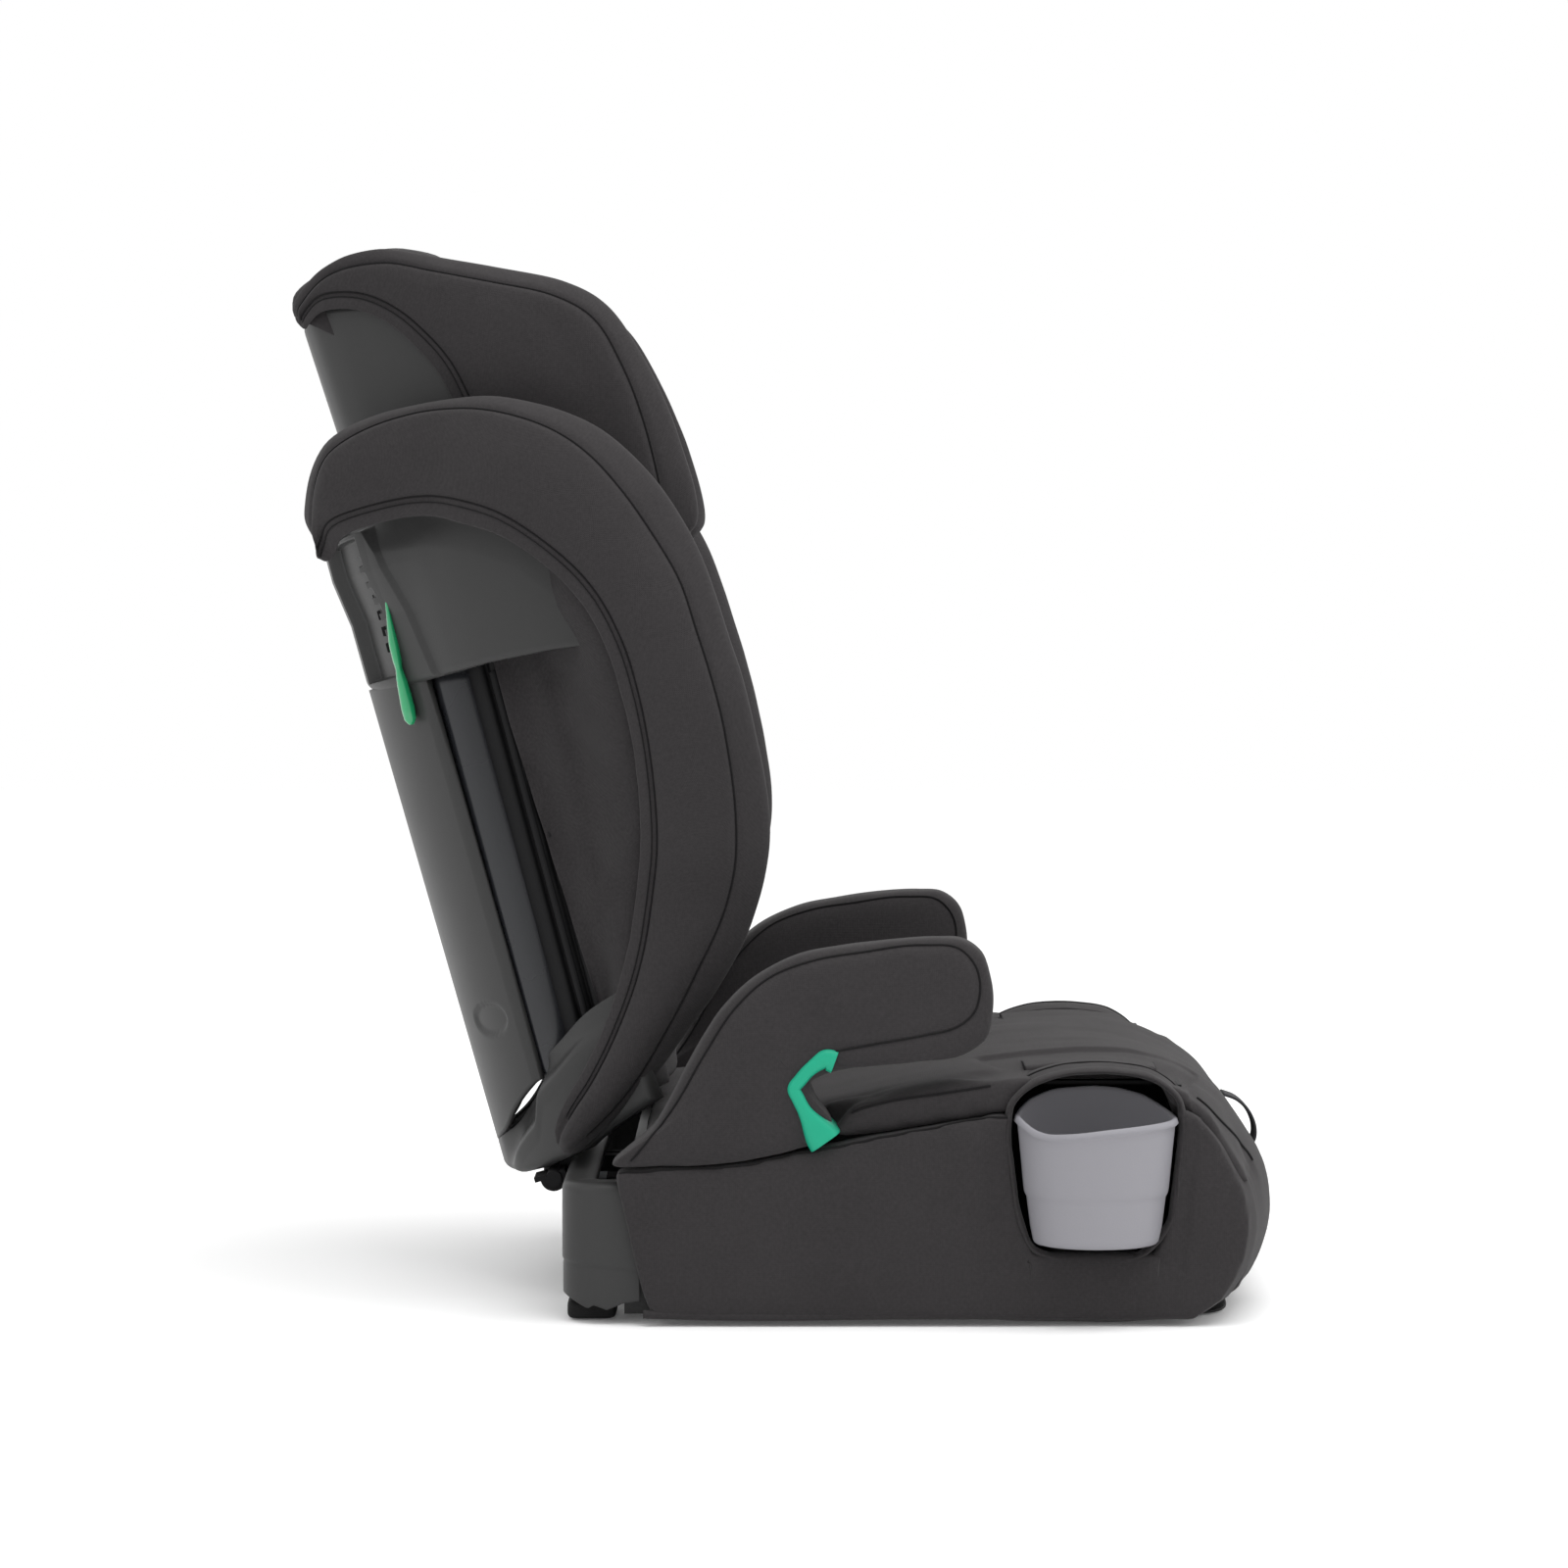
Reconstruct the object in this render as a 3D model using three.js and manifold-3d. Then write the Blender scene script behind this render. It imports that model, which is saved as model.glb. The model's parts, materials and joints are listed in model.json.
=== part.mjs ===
// High-back booster seat, in millimetres, +Z up, the occupant faces -Y and the right-hand side is -X.
// The origin is the middle of the base's underside. The back is drawn upright in its own group:
// there +Z runs up the back, -Y is forward, and the group leans by back.lean about the lower rear corner.
import * as THREE from 'three';
import { mergeVertices } from 'three/addons/utils/BufferGeometryUtils.js';
import Module from 'manifold-3d';

const wasm = await Module();
wasm.setup();

// ---------------------------------------------------------------- driving dimensions
const gap = 0.4; // air between neighbouring solids
const play = 0.6; // air between a part that moves and what guides it
const base = { halfWidth: 184, frontY: -200, rearY: 186, wall: 4, floorThickness: 3 };
const sidePanel = { thickness: 26 };
const armrest = { width: 44, overhang: 5.6 };
const rearCover = { outset: 19, rearY: 224, bottomZ: 12, topZ: 86, wall: 4, cornerRadius: 26 };
const foot = { halfWidth: 22, height: 11.6, length: 30 };
const cup = { outset: 21, y: -99, bottomZ: 49, shoulderZ: 77, lowZ: 121.5, highZ: 140.5, wall: 2.6 };
const cupHalf = { rimY: 48.2, rimX: 38.5, bottomY: 38.5, bottomX: 31 };
const cupTravel = 46;
const pocket = { wall: 2.2, sideAir: 2.6 };
const carrier = { halfWidth: 33, thickness: 7 };
const connector = { gauge: 140, z: 44, armWidth: 12, armHeight: 20, headWidth: 30, headHeight: 32, headLength: 60 };
const jaw = { thickness: 6.6, pivotY: 185, pivotZ: 52 };
const button = { length: 20, height: 16, thickness: 5, stroke: 4 };
const pullLoop = { halfWidth: 13, thickness: 2.4 };
const guide = { thickness: 6 };
const hinge = { y: 233, z: 75, pinRadius: 5, bracketX: 61, bracketWidth: 14, hookX: 86, hookWidth: 28 };
const back = { lean: 15, rearY: 266, bottomZ: 77, height: 476 };
const column = { halfWidth: 100, bulge: 39, wall: 3, top: 309 };
const rail = { radius: 16, x: 88, forward: 56 };
const housing = { bottom: 311, top: 424, wall: 4 };
const lever = { innerX: 74, width: 10, pivotForward: 27, pivotUp: 362, shaftRadius: 3 };
const post = { halfWidth: 56, rear: 34, front: 42, bottom: 150, top: 520, toothPitch: 10.5 };
const rack = { innerX: 59, width: 11, rear: 15, front: 23, bottom: 322, top: 402 };
const roll = { halfThickness: 20 };
const backPad = { halfWidth: 112, rear: 90, front: 116, bottom: 28, top: 395 };
const headPad = { halfWidth: 84, wingThickness: 29 };

// ---------------------------------------------------------------- materials
const finish = (color, roughness, metalness = 0) => new THREE.MeshStandardMaterial({ color, roughness, metalness });
const fabric = finish(0x3b3939, 0.9);
const shellPlastic = finish(0x454646, 0.45);
const blackPlastic = finish(0x1d1d1e, 0.6);
const teal = finish(0x35b592, 0.5);
const leverGreen = finish(0x38ac7c, 0.35);
const cupGrey = finish(0x9b9ca1, 0.5);
const steel = finish(0xa8abae, 0.35, 1);
const rubber = finish(0x161616, 0.85);
const webbing = finish(0x4a4a4c, 0.8);

// ---------------------------------------------------------------- solid helpers
function solidOf(geometry) {
  const bare = geometry.clone();
  bare.deleteAttribute('normal');
  bare.deleteAttribute('uv');
  const merged = mergeVertices(bare, 1e-4);
  const vertProperties = new Float32Array(merged.attributes.position.array);
  const triVerts = new Uint32Array(merged.index.array);
  return new wasm.Manifold(new wasm.Mesh({ numProp: 3, vertProperties, triVerts }));
}

function geometryOf(solid) {
  const { vertProperties, triVerts } = solid.getMesh();
  const geometry = new THREE.BufferGeometry();
  geometry.setAttribute('position', new THREE.BufferAttribute(new Float32Array(vertProperties), 3));
  geometry.setIndex(new THREE.BufferAttribute(new Uint32Array(triVerts), 1));
  geometry.computeVertexNormals();
  return geometry;
}

// The same solid on the other side of the plane X = 0.
function mirrored(solid) {
  const geometry = geometryOf(solid);
  geometry.scale(-1, 1, 1);
  const order = geometry.index.array;
  for (let i = 0; i < order.length; i += 3) {
    const second = order[i + 1];
    order[i + 1] = order[i + 2];
    order[i + 2] = second;
  }
  return solidOf(geometry);
}

const outlineShape = (points) => new THREE.Shape(points.map(([a, b]) => new THREE.Vector2(a, b)));

// An outline in the Y-Z plane, carried along X.
function sidePlate(outline, x0, x1) {
  const geometry = new THREE.ExtrudeGeometry(outlineShape(outline), { depth: x1 - x0, bevelEnabled: false });
  const toSide = new THREE.Matrix4().makeBasis(
    new THREE.Vector3(0, 1, 0),
    new THREE.Vector3(0, 0, 1),
    new THREE.Vector3(1, 0, 0),
  );
  geometry.applyMatrix4(toSide);
  geometry.translate(x0, 0, 0);
  return solidOf(geometry);
}

// An outline in the X-Y plane, carried up Z.
function planSlab(outline, z0, z1) {
  const geometry = new THREE.ExtrudeGeometry(outlineShape(outline), { depth: z1 - z0, bevelEnabled: false });
  geometry.translate(0, 0, z0);
  return solidOf(geometry);
}

function block(x0, x1, y0, y1, z0, z1) {
  const geometry = new THREE.BoxGeometry(x1 - x0, y1 - y0, z1 - z0);
  geometry.translate((x0 + x1) / 2, (y0 + y1) / 2, (z0 + z1) / 2);
  return solidOf(geometry);
}

function rodX(radius, x0, x1, y, z, sides = 20) {
  const geometry = new THREE.CylinderGeometry(radius, radius, x1 - x0, sides);
  geometry.rotateZ(Math.PI / 2);
  geometry.translate((x0 + x1) / 2, y, z);
  return solidOf(geometry);
}

// A rod up Z with an oval section.
function rodZ(radiusX, radiusY, x, y, z0, z1, sides = 20) {
  const geometry = new THREE.CylinderGeometry(1, 1, z1 - z0, sides);
  geometry.rotateX(Math.PI / 2);
  geometry.scale(radiusX, radiusY, 1);
  geometry.translate(x, y, (z0 + z1) / 2);
  return solidOf(geometry);
}

// A closed skin over rings of points, each ring with the same count, with a flat fan on both ends.
function ringSolid(rings) {
  const count = rings[0].length;
  const positions = rings.flat().flatMap((p) => [p.x, p.y, p.z]);
  const triangles = [];
  for (let r = 0; r + 1 < rings.length; r++) {
    for (let i = 0; i < count; i++) {
      const a = r * count + i;
      const b = r * count + ((i + 1) % count);
      triangles.push(a, b, b + count, a, b + count, a + count);
    }
  }
  for (const [ring, turn] of [[0, 1], [rings.length - 1, 0]]) {
    const middle = new THREE.Vector3();
    rings[ring].forEach((p) => middle.addScaledVector(p, 1 / count));
    const hub = positions.length / 3;
    positions.push(middle.x, middle.y, middle.z);
    for (let i = 0; i < count; i++) {
      const a = ring * count + i;
      const b = ring * count + ((i + 1) % count);
      triangles.push(...(turn ? [hub, b, a] : [hub, a, b]));
    }
  }
  const geometry = new THREE.BufferGeometry();
  geometry.setAttribute('position', new THREE.Float32BufferAttribute(positions, 3));
  geometry.setIndex(triangles);
  const solid = solidOf(geometry);
  return solid.volume() > 0 ? solid : ringSolid([...rings].reverse());
}

// Points on a smooth curve through the given ones.
function smooth(points, steps) {
  const curve = new THREE.SplineCurve(points.map(([a, b]) => new THREE.Vector2(a, b)));
  return curve.getPoints(steps).map((p) => [p.x, p.y]);
}

// The outline moved sideways by distance: to the left of its direction when positive.
function shifted(points, distance) {
  return points.map((p, i) => {
    const before = points[Math.max(i - 1, 0)];
    const after = points[Math.min(i + 1, points.length - 1)];
    const length = Math.hypot(after[0] - before[0], after[1] - before[1]);
    return [
      p[0] - ((after[1] - before[1]) / length) * distance,
      p[1] + ((after[0] - before[0]) / length) * distance,
    ];
  });
}

// A wall that follows a curve, its thickness to the left of the curve's direction.
const wallAlong = (curve, thickness) => [...curve, ...shifted(curve, thickness).reverse()];

// An open curve over the ground, closed straight down to a level z.
const closeBelow = (curve, z) => [...curve, [curve.at(-1)[0], z], [curve[0][0], z]];

const seat = new THREE.Group();
const backGroup = new THREE.Group();
backGroup.position.set(0, back.rearY, back.bottomZ);
backGroup.rotation.x = -THREE.MathUtils.degToRad(back.lean);
seat.add(backGroup);

function put(name, solid, material, parent = seat) {
  const mesh = new THREE.Mesh(geometryOf(solid), material);
  mesh.name = name;
  parent.add(mesh);
}

// Puts a piece drawn on the +X side there as the left one, and its mirror image as the right one.
function putPair(name, solid, material, parent = seat) {
  put(`${name}_left`, solid, material, parent);
  put(`${name}_right`, mirrored(solid), material, parent);
}

// ---------------------------------------------------------------- base: outlines shared by its pieces
// The seat surface, from the lower front edge over the thigh roll to the rear.
const seatTop = smooth([
  [-216, 14], [-224.5, 45], [-219, 85], [-196, 115], [-180, 131], [-150, 148.5], [-110, 154.5],
  [-60, 152], [0, 143], [60, 129], [120, 117], [base.rearY - 8, 111],
], 33);
// The hard deck under the cushion.
const deck = smooth([
  [base.frontY + 6, 16], [base.frontY, 58], [base.frontY + 10, 92], [-160, 113], [-110, 121],
  [-60, 119], [0, 111], [60, 98], [120, 89], [base.rearY, 84],
], 24);
// The seam between the top cover and the side panel.
const sideSeam = smooth([
  [-204, 84], [-185.6, 109], [-171.5, 122.7], [-158, 131], [-144.4, 132.7], [-95, 131.5], [-45.7, 128.5],
  [-23.3, 125.6], [33, 116.2], [66.7, 109], [118, 99], [193.5, 93],
], 30);

const shellOuterX = base.halfWidth;
const panelInnerX = shellOuterX + gap;
const panelOuterX = panelInnerX + sidePanel.thickness;
const armOuterX = panelOuterX + armrest.overhang;
const armInnerX = armOuterX - armrest.width;
const bandOuterX = panelOuterX - 5;
const beyondX = base.halfWidth + 80; // further out than any piece, for cuts
const cupX = base.halfWidth + cup.outset;
const notchX = cupX - cupHalf.rimX - 4;
const pocketInnerX = notchX - cupTravel - 5;
const pocketHalfY = cupHalf.rimY + pocket.sideAir + pocket.wall;
const pocketFloorZ = cup.bottomZ - carrier.thickness - 5.5;
const pocketRoofZ = cup.highZ + play + pocket.wall;
const pocketY = [cup.y - pocketHalfY, cup.y + pocketHalfY];
const connectorBay = { x0: connector.gauge - 20, x1: connector.gauge + 20, z0: connector.z - 22, z1: connector.z + 24 };

// The space that a cup pocket takes out of its neighbours, out to the given side.
const pocketSpace = (outerX, roofZ = pocketRoofZ + gap) =>
  block(pocketInnerX - gap, outerX, pocketY[0] - gap, pocketY[1] + gap, pocketFloorZ - gap, roofZ);

const bothSides = (solid) => solid.add(mirrored(solid));

function makeBaseShell() {
  const bottomZ = base.floorThickness + gap;
  const outer = sidePlate(closeBelow(deck, bottomZ), -shellOuterX, shellOuterX);
  const innerDeck = shifted(deck, -base.wall);
  innerDeck[0][0] = deck[0][0] + base.wall;
  innerDeck.at(-1)[0] = base.rearY - base.wall;
  const inner = sidePlate(closeBelow(innerDeck, bottomZ - 5), -shellOuterX + base.wall, shellOuterX - base.wall);
  const { x0, x1, z0, z1 } = connectorBay;
  const rearHole = block(x0, x1, base.rearY - base.wall * 3, base.rearY + 5, z0, z1);
  const cuts = bothSides(pocketSpace(shellOuterX + 5).add(rearHole));
  put('base_shell', outer.subtract(inner).subtract(cuts), shellPlastic);
}

function makeBaseFloor() {
  const corner = 20;
  const halfX = shellOuterX;
  const [y0, y1] = [base.frontY - 6, base.rearY];
  const plan = [
    [-halfX + corner, y0], [halfX - corner, y0], [halfX, y0 + corner], [halfX, y1], [-halfX, y1],
    [-halfX, y0 + corner],
  ];
  put('base_floor', planSlab(plan, 0, base.floorThickness), shellPlastic);
}

// The outline of a rectangle whose two rear corners are rounded.
function rearRounded(halfX, y0, y1, radius) {
  const steps = 6;
  const outline = [[-halfX, y0], [halfX, y0]];
  for (const side of [1, -1]) {
    for (let i = 0; i <= steps; i++) {
      const turn = (Math.PI / 2) * (side > 0 ? i / steps : 1 - i / steps);
      outline.push([side * (halfX - radius + radius * Math.cos(turn)), y1 - radius + radius * Math.sin(turn)]);
    }
  }
  return outline;
}

function makeRearCover() {
  const { outset, rearY, bottomZ, topZ, wall, cornerRadius } = rearCover;
  const halfWidth = shellOuterX + outset;
  const startY = base.rearY - 12;
  const outer = planSlab(rearRounded(halfWidth, startY, rearY, cornerRadius), bottomZ, topZ);
  const hollow = rearRounded(halfWidth - wall, startY - 10, rearY - wall, cornerRadius - wall);
  const inner = planSlab(hollow, bottomZ + wall, topZ - wall);
  const shellRoom = block(-shellOuterX - gap, shellOuterX + gap, startY - 10, base.rearY + gap, 0, topZ + 10);
  const aheadOfEdge = sidePlate([[0, 0], [rearEdge(0) + gap, 0], [rearEdge(120) + gap, 120], [0, 120]], -beyondX, beyondX);
  const { x0, x1, z0, z1 } = connectorBay;
  const rearHoles = bothSides(block(x0, x1, rearY - wall * 2, rearY + 5, z0, z1));
  const lugY = hinge.y + hinge.pinRadius + 3;
  const lugX = [hinge.bracketX - hinge.bracketWidth / 2, hinge.bracketX + hinge.bracketWidth / 2];
  const lug = block(lugX[0], lugX[1], rearY - wall / 2, lugY, hinge.z - 11, hinge.z + 10);
  const pinHole = rodX(hinge.pinRadius + 0.2, -beyondX, beyondX, hinge.y, hinge.z, 24);
  const cover = outer.subtract(inner).subtract(shellRoom).subtract(aheadOfEdge).subtract(rearHoles);
  put('base_rear_cover', cover.add(bothSides(lug)).subtract(pinHole), shellPlastic);
}

// The rear edge of the side fabric leans forward towards the floor.
function rearEdge(z) {
  return 170 + z * 0.25;
}

function makeFeet() {
  const x = 165;
  const y1 = rearCover.rearY - 3;
  const y0 = y1 - foot.length;
  putPair('foot', block(x - foot.halfWidth, x + foot.halfWidth, y0, y1, 0, foot.height), rubber);
}

function makeSeatPad() {
    const core = sidePlate(closeBelow(seatTop, 14), -shellOuterX, shellOuterX);
  const seamRise = sideSeam.map(([y, z]) => [y, z + gap]).filter(([y]) => y < 52);
  const bandTop = seatTop.filter(([y, z]) => z > 84 && y < 52);
  const band = sidePlate([...bandTop, ...seamRise.reverse()], -bandOuterX, bandOuterX);
  const deckRoom = sidePlate(closeBelow(shifted(deck, gap), 0), -shellOuterX - 20, shellOuterX + 20);
  const armRoom = bothSides(block(armInnerX - gap, beyondX, 52, 240, 0, 200));
  const notch = block(notchX, beyondX, pocketY[0] - gap, pocketY[1] + gap, cup.bottomZ, 200);
  const pockets = bothSides(pocketSpace(beyondX).add(notch));
  put('seat_pad', core.add(band).subtract(deckRoom).subtract(armRoom).subtract(pockets), fabric);
}

function makeSidePanels() {
  const front = smooth([[-176, 2], [-200, 14], [-211, 40], [-210, 66], [-204, 84]], 8);
  const rear = [[rearEdge(93) - gap, 92.6], [rearEdge(14), 14], [168, 4], [150, 1]];
  const outline = [...front, ...sideSeam.slice(1, -1).map(([y, z]) => [y, z - gap / 2]), ...rear];
  const panel = sidePlate(outline, panelInnerX, panelOuterX);
  putPair('side_panel', panel.subtract(pocketSpace(beyondX, 200)), fabric);
}

// ---------------------------------------------------------------- armrests and lap belt guides
// The belt guide lines the rear end of the gap under the armrest: its inner face, top to bottom.
const guideFace = [[58, 157.5], [62, 160], [80.5, 146.5], [79.5, 142], [60, 113]];
const guideBack = shifted(guideFace, guide.thickness);

function makeArmrests() {
  const upper = smooth([
    [192.5, 99], [168.4, 119], [145.4, 160], [127, 190], [108, 208.5], [80, 223], [24, 232.6],
    [-4.5, 234.4], [-22, 232], [-33.5, 217], [-36.8, 192], [-33, 171], [-21, 164.4], [5, 160.5], [33, 158.5], [50, 158.2],
  ], 34);
  const root = shifted(guideFace, guide.thickness + gap);
  const lower = sideSeam.map(([y, z]) => [y, z + gap]).filter(([y]) => y > 72);
  const arm = sidePlate([...upper, ...root, ...lower], armInnerX, armOuterX);
  putPair('armrest', arm, fabric);
}

function makeBeltGuides() {
  const strip = sidePlate([...guideFace, ...[...guideBack].reverse()], armInnerX, armOuterX + 2);
  const keepAbove = sideSeam.map(([y, z]) => [y, z + gap]).filter(([y]) => y > 20);
  const under = sidePlate([...keepAbove, [200, 0], [20, 0]], 0, beyondX);
  putPair('belt_guide', strip.subtract(under), teal);
}

// ---------------------------------------------------------------- cup holders
// A ring of the cup at one level; the rim is low on the outside and high on the seat's side.
function cupRing(halfX, halfY, level) {
  const sides = 28;
  const ring = [];
  for (let i = 0; i < sides; i++) {
    const turn = (2 * Math.PI * i) / sides;
    const z = typeof level === 'function' ? level(Math.cos(turn)) : level;
    ring.push(new THREE.Vector3(cupX + halfX * Math.cos(turn), cup.y + halfY * Math.sin(turn), z));
  }
  return ring;
}

function makeCups() {
  const { rimX, rimY, bottomX, bottomY } = cupHalf;
  const rimZ = (outward) => (cup.lowZ + cup.highZ) / 2 - ((cup.highZ - cup.lowZ) / 2) * outward;
  const shoulder = 0.88;
  const { wall } = cup;
  const rings = [
    cupRing(bottomX, bottomY, cup.bottomZ),
    cupRing(rimX * shoulder, rimY * shoulder, cup.shoulderZ),
    cupRing(rimX - 1.5, rimY - 1.5, (o) => rimZ(o) - 6),
    cupRing(rimX, rimY, (o) => rimZ(o) - 3),
    cupRing(rimX - 0.6, rimY - 0.6, rimZ),
    cupRing(rimX - wall, rimY - wall, (o) => rimZ(o) - 1),
    cupRing(rimX * shoulder - wall, rimY * shoulder - wall, cup.shoulderZ + 1),
    cupRing(bottomX - wall, bottomY - wall, cup.bottomZ + wall),
  ];
  putPair('cup', ringSolid(rings), cupGrey);
}

function makeCupCarriers() {
  const top = cup.bottomZ - gap;
  const { halfWidth, thickness } = carrier;
  const plate = block(pocketInnerX - 14, cupX + 15, cup.y - halfWidth, cup.y + halfWidth, top - thickness, top);
  putPair('cup_carrier', plate, blackPlastic);
}

function makeCupPockets() {
  const { wall } = pocket;
  const [y0, y1] = pocketY;
  const outerX = shellOuterX;
  const outer = block(pocketInnerX, outerX, y0, y1, pocketFloorZ, pocketRoofZ);
  const inner = block(pocketInnerX + wall, outerX + 5, y0 + wall, y1 - wall, pocketFloorZ + wall, pocketRoofZ - wall);
  const slotZ = [cup.bottomZ - gap - carrier.thickness - play, cup.bottomZ + play];
  const { halfWidth } = carrier;
  const slot = block(
    pocketInnerX - 5, pocketInnerX + 10, cup.y - halfWidth - play, cup.y + halfWidth + play, slotZ[0], slotZ[1],
  );
  const mouth = block(notchX, outerX + 5, y0 + wall, y1 - wall, cup.bottomZ, pocketRoofZ + 5);
  putPair('cup_pocket', outer.subtract(inner).subtract(slot).subtract(mouth), blackPlastic);
}

// ---------------------------------------------------------------- rear connectors
function makeConnectors() {
  const { gauge, z, armWidth, armHeight, headWidth, headHeight, headLength } = connector;
  const headY1 = rearCover.rearY - 6;
  const headY0 = headY1 - headLength;
  const armY0 = 40;
  const arm = block(gauge - armWidth / 2, gauge + armWidth / 2, armY0, headY0 - gap, z - armHeight / 2, z + armHeight / 2);
  putPair('connector_arm', arm, steel);
  const barEnd = gauge - armWidth / 2 - gap;
  put('connector_bar', block(-barEnd, barEnd, armY0 + 4, armY0 + 16, z - 6, z + 6), steel);

  const headOuterX = gauge + headWidth / 2;
  const head = block(gauge - headWidth / 2, headOuterX, headY0, headY1, z - headHeight / 2, z + headHeight / 2);
  const jawSlot = jaw.thickness / 2 + play;
  const jawRoom = block(gauge - jawSlot, gauge + jawSlot, jaw.pivotY - 9, headY1 + 5, z - 10, z + 40);
  const mouth = block(0, beyondX, headY1 - 22, headY1 + 5, z - 3, z + 5);
  const { length, height, thickness, stroke } = button;
  const buttonY = headY0 + 10;
  const room = block(
    headOuterX - thickness - stroke, headOuterX + 5, buttonY - play, buttonY + length + play,
    z - height / 2 - play, z + height / 2 + play,
  );
  putPair('connector_head', head.subtract(jawRoom).subtract(mouth).subtract(room), blackPlastic);
  const face = headOuterX + 3;
  const key = block(face - thickness, face, buttonY, buttonY + length, z - height / 2, z + height / 2);
  putPair('connector_button', key, leverGreen);

  const { pivotY, pivotZ } = jaw;
  const hook = [
    [pivotY - 5, pivotZ - 4], [pivotY + 23, pivotZ - 2], [pivotY + 25, pivotZ - 14], [pivotY + 31, pivotZ - 14],
    [pivotY + 29, pivotZ + 4], [pivotY - 5, pivotZ + 4],
  ];
  const claw = sidePlate(hook, gauge - jaw.thickness / 2, gauge + jaw.thickness / 2);
  putPair('connector_jaw', claw, steel);
}

// ---------------------------------------------------------------- front pull strap
function makePullLoop() {
  const bow = smooth([[-201, 117], [-213, 115], [-222, 102], [-226.5, 88]], 8);
  const strap = sidePlate(wallAlong(bow, -pullLoop.thickness), -pullLoop.halfWidth, pullLoop.halfWidth);
  put('pull_loop', strap.subtract(padSkin(1.2)), webbing);
}

// The seat cushion's front, standing proud by the given distance.
function padSkin(distance) {
  const skin = shifted(seatTop, distance);
  return sidePlate([...skin, [base.rearY, 0], [-190, 0]], -40, 40);
}

// ---------------------------------------------------------------- back: curves seen from above, [x, forward]
const plan = (curve) => curve.map(([x, forward]) => [x, -forward]);
const upright = (outline) => outline.map(([forward, up]) => [-forward, (up * back.height) / 476]);
const rise = (up) => (up * back.height) / 476;

// The rear face bulges: a round arc from one edge of the column to the other.
function bulgeArc(halfWidth, setIn, steps = 16) {
  const radius = (column.halfWidth ** 2 + column.bulge ** 2) / (2 * column.bulge);
  const arc = [];
  for (let i = 0; i <= steps; i++) {
    const x = -halfWidth + (2 * halfWidth * i) / steps;
    arc.push([x, setIn + radius - Math.sqrt(radius ** 2 - x ** 2)]);
  }
  return arc;
}

// The lower edge of the column, where the scooped lower shell begins: [forward, up].
const scoopEdge = smooth([[-6, 6], [11, 23], [33, 47], [69, 72], [100, 84]], 10);

function makeColumn() {
  const arc = bulgeArc(column.halfWidth, 0);
  const wall = [...arc, ...bulgeArc(column.halfWidth, column.wall).reverse()];
  const cover = planSlab(plan(wall), rise(0), rise(column.top));
  const belowEdge = sidePlate(upright([...scoopEdge.map(([v, w]) => [v, w + gap]), [100, -40], [-6, -40]]), -200, 200);
  put('column_cover', cover.subtract(belowEdge), shellPlastic, backGroup);
  const bar = rodZ(rail.radius, rail.radius, rail.x, -rail.forward, rise(80), rise(column.top));
  putPair('side_rail', bar, shellPlastic, backGroup);
  const plate = block(-post.halfWidth - 10, post.halfWidth + 10, -post.front - 7, -post.front - 3, rise(60), rise(column.top));
  put('spine_plate', plate, blackPlastic, backGroup);
  const rod = rodZ(2.5, 2.5, rail.x + rail.radius + 4, -rail.forward - 22, rise(84), rise(column.top - 4), 12);
  putPair('cover_rod', rod, blackPlastic, backGroup);
}

function makeLowerShell() {
  const curve = smooth([[-150, 104], [-128, 66], [-100, 36], [-50, 14], [0, 6], [50, 14], [100, 36], [128, 66], [150, 104]], 24);
  const wall = planSlab(plan(wallAlong(curve, 6)), rise(-8), rise(90));
  const profile = upright([...scoopEdge, [96, 79], [70, 50], [42, 24], [36, -7], [2, -7]]);
  const shelf = planSlab(plan([...bulgeArc(100, 8), [100, 48], [-100, 48]]), rise(-7), rise(-2));
  const lugRoom = hinge.bracketWidth / 2 + 2;
  const notch = bothSides(block(hinge.bracketX - lugRoom, hinge.bracketX + lugRoom, -60, 20, -30, 16));
  const frontRoom = block(-200, 200, -70, -37, -30, 4);
  const pinRoom = rodX(hinge.pinRadius + play, -200, 200, -pinForward, pinUp, 24);
  const shell = wall.intersect(sidePlate(profile, -200, 200)).add(shelf).subtract(notch).subtract(frontRoom);
  put('lower_shell', shell.subtract(pinRoom), shellPlastic, backGroup);
}

// The hinge pin's place in the back's own frame, [forward, up].
const lean = THREE.MathUtils.degToRad(back.lean);
const pinForward = (back.rearY - hinge.y) * Math.cos(lean) + (hinge.z - back.bottomZ) * Math.sin(lean);
const pinUp = (hinge.y - back.rearY) * Math.sin(lean) + (hinge.z - back.bottomZ) * Math.cos(lean);

function makeHinge() {
  const pinReach = hinge.hookX + hinge.hookWidth / 2 + 4;
  put('hinge_pin', rodX(hinge.pinRadius, -pinReach, pinReach, hinge.y, hinge.z, 24), steel);
  const x0 = hinge.hookX - hinge.hookWidth / 2;
  const x1 = hinge.hookX + hinge.hookWidth / 2;
  const round = rodX(hinge.y - rearCover.rearY - play, x0, x1, -pinForward, pinUp, 24);
  const neck = block(x0, x1, -pinForward - 4, -pinForward + 12, pinUp, rise(-7) - gap);
  const hole = rodX(hinge.pinRadius + 0.2, x0 - 1, x1 + 1, -pinForward, pinUp, 24);
  putPair('back_hook', round.add(neck).intersect(block(x0, x1, -100, 100, -60, rise(-7) - gap)).subtract(hole), blackPlastic, backGroup);
}

// The hem of the wing covers, which the housing and the web panels stop short of: [forward, up].
const hem = [[46, 24], [72, 46], [99, 77], [121, 109], [139, 148], [153, 187], [163, 245], [164, 300], [152, 345],
  [122, 387], [95, 408], [62, 420], [9, 418], [-8, 398]];

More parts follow.
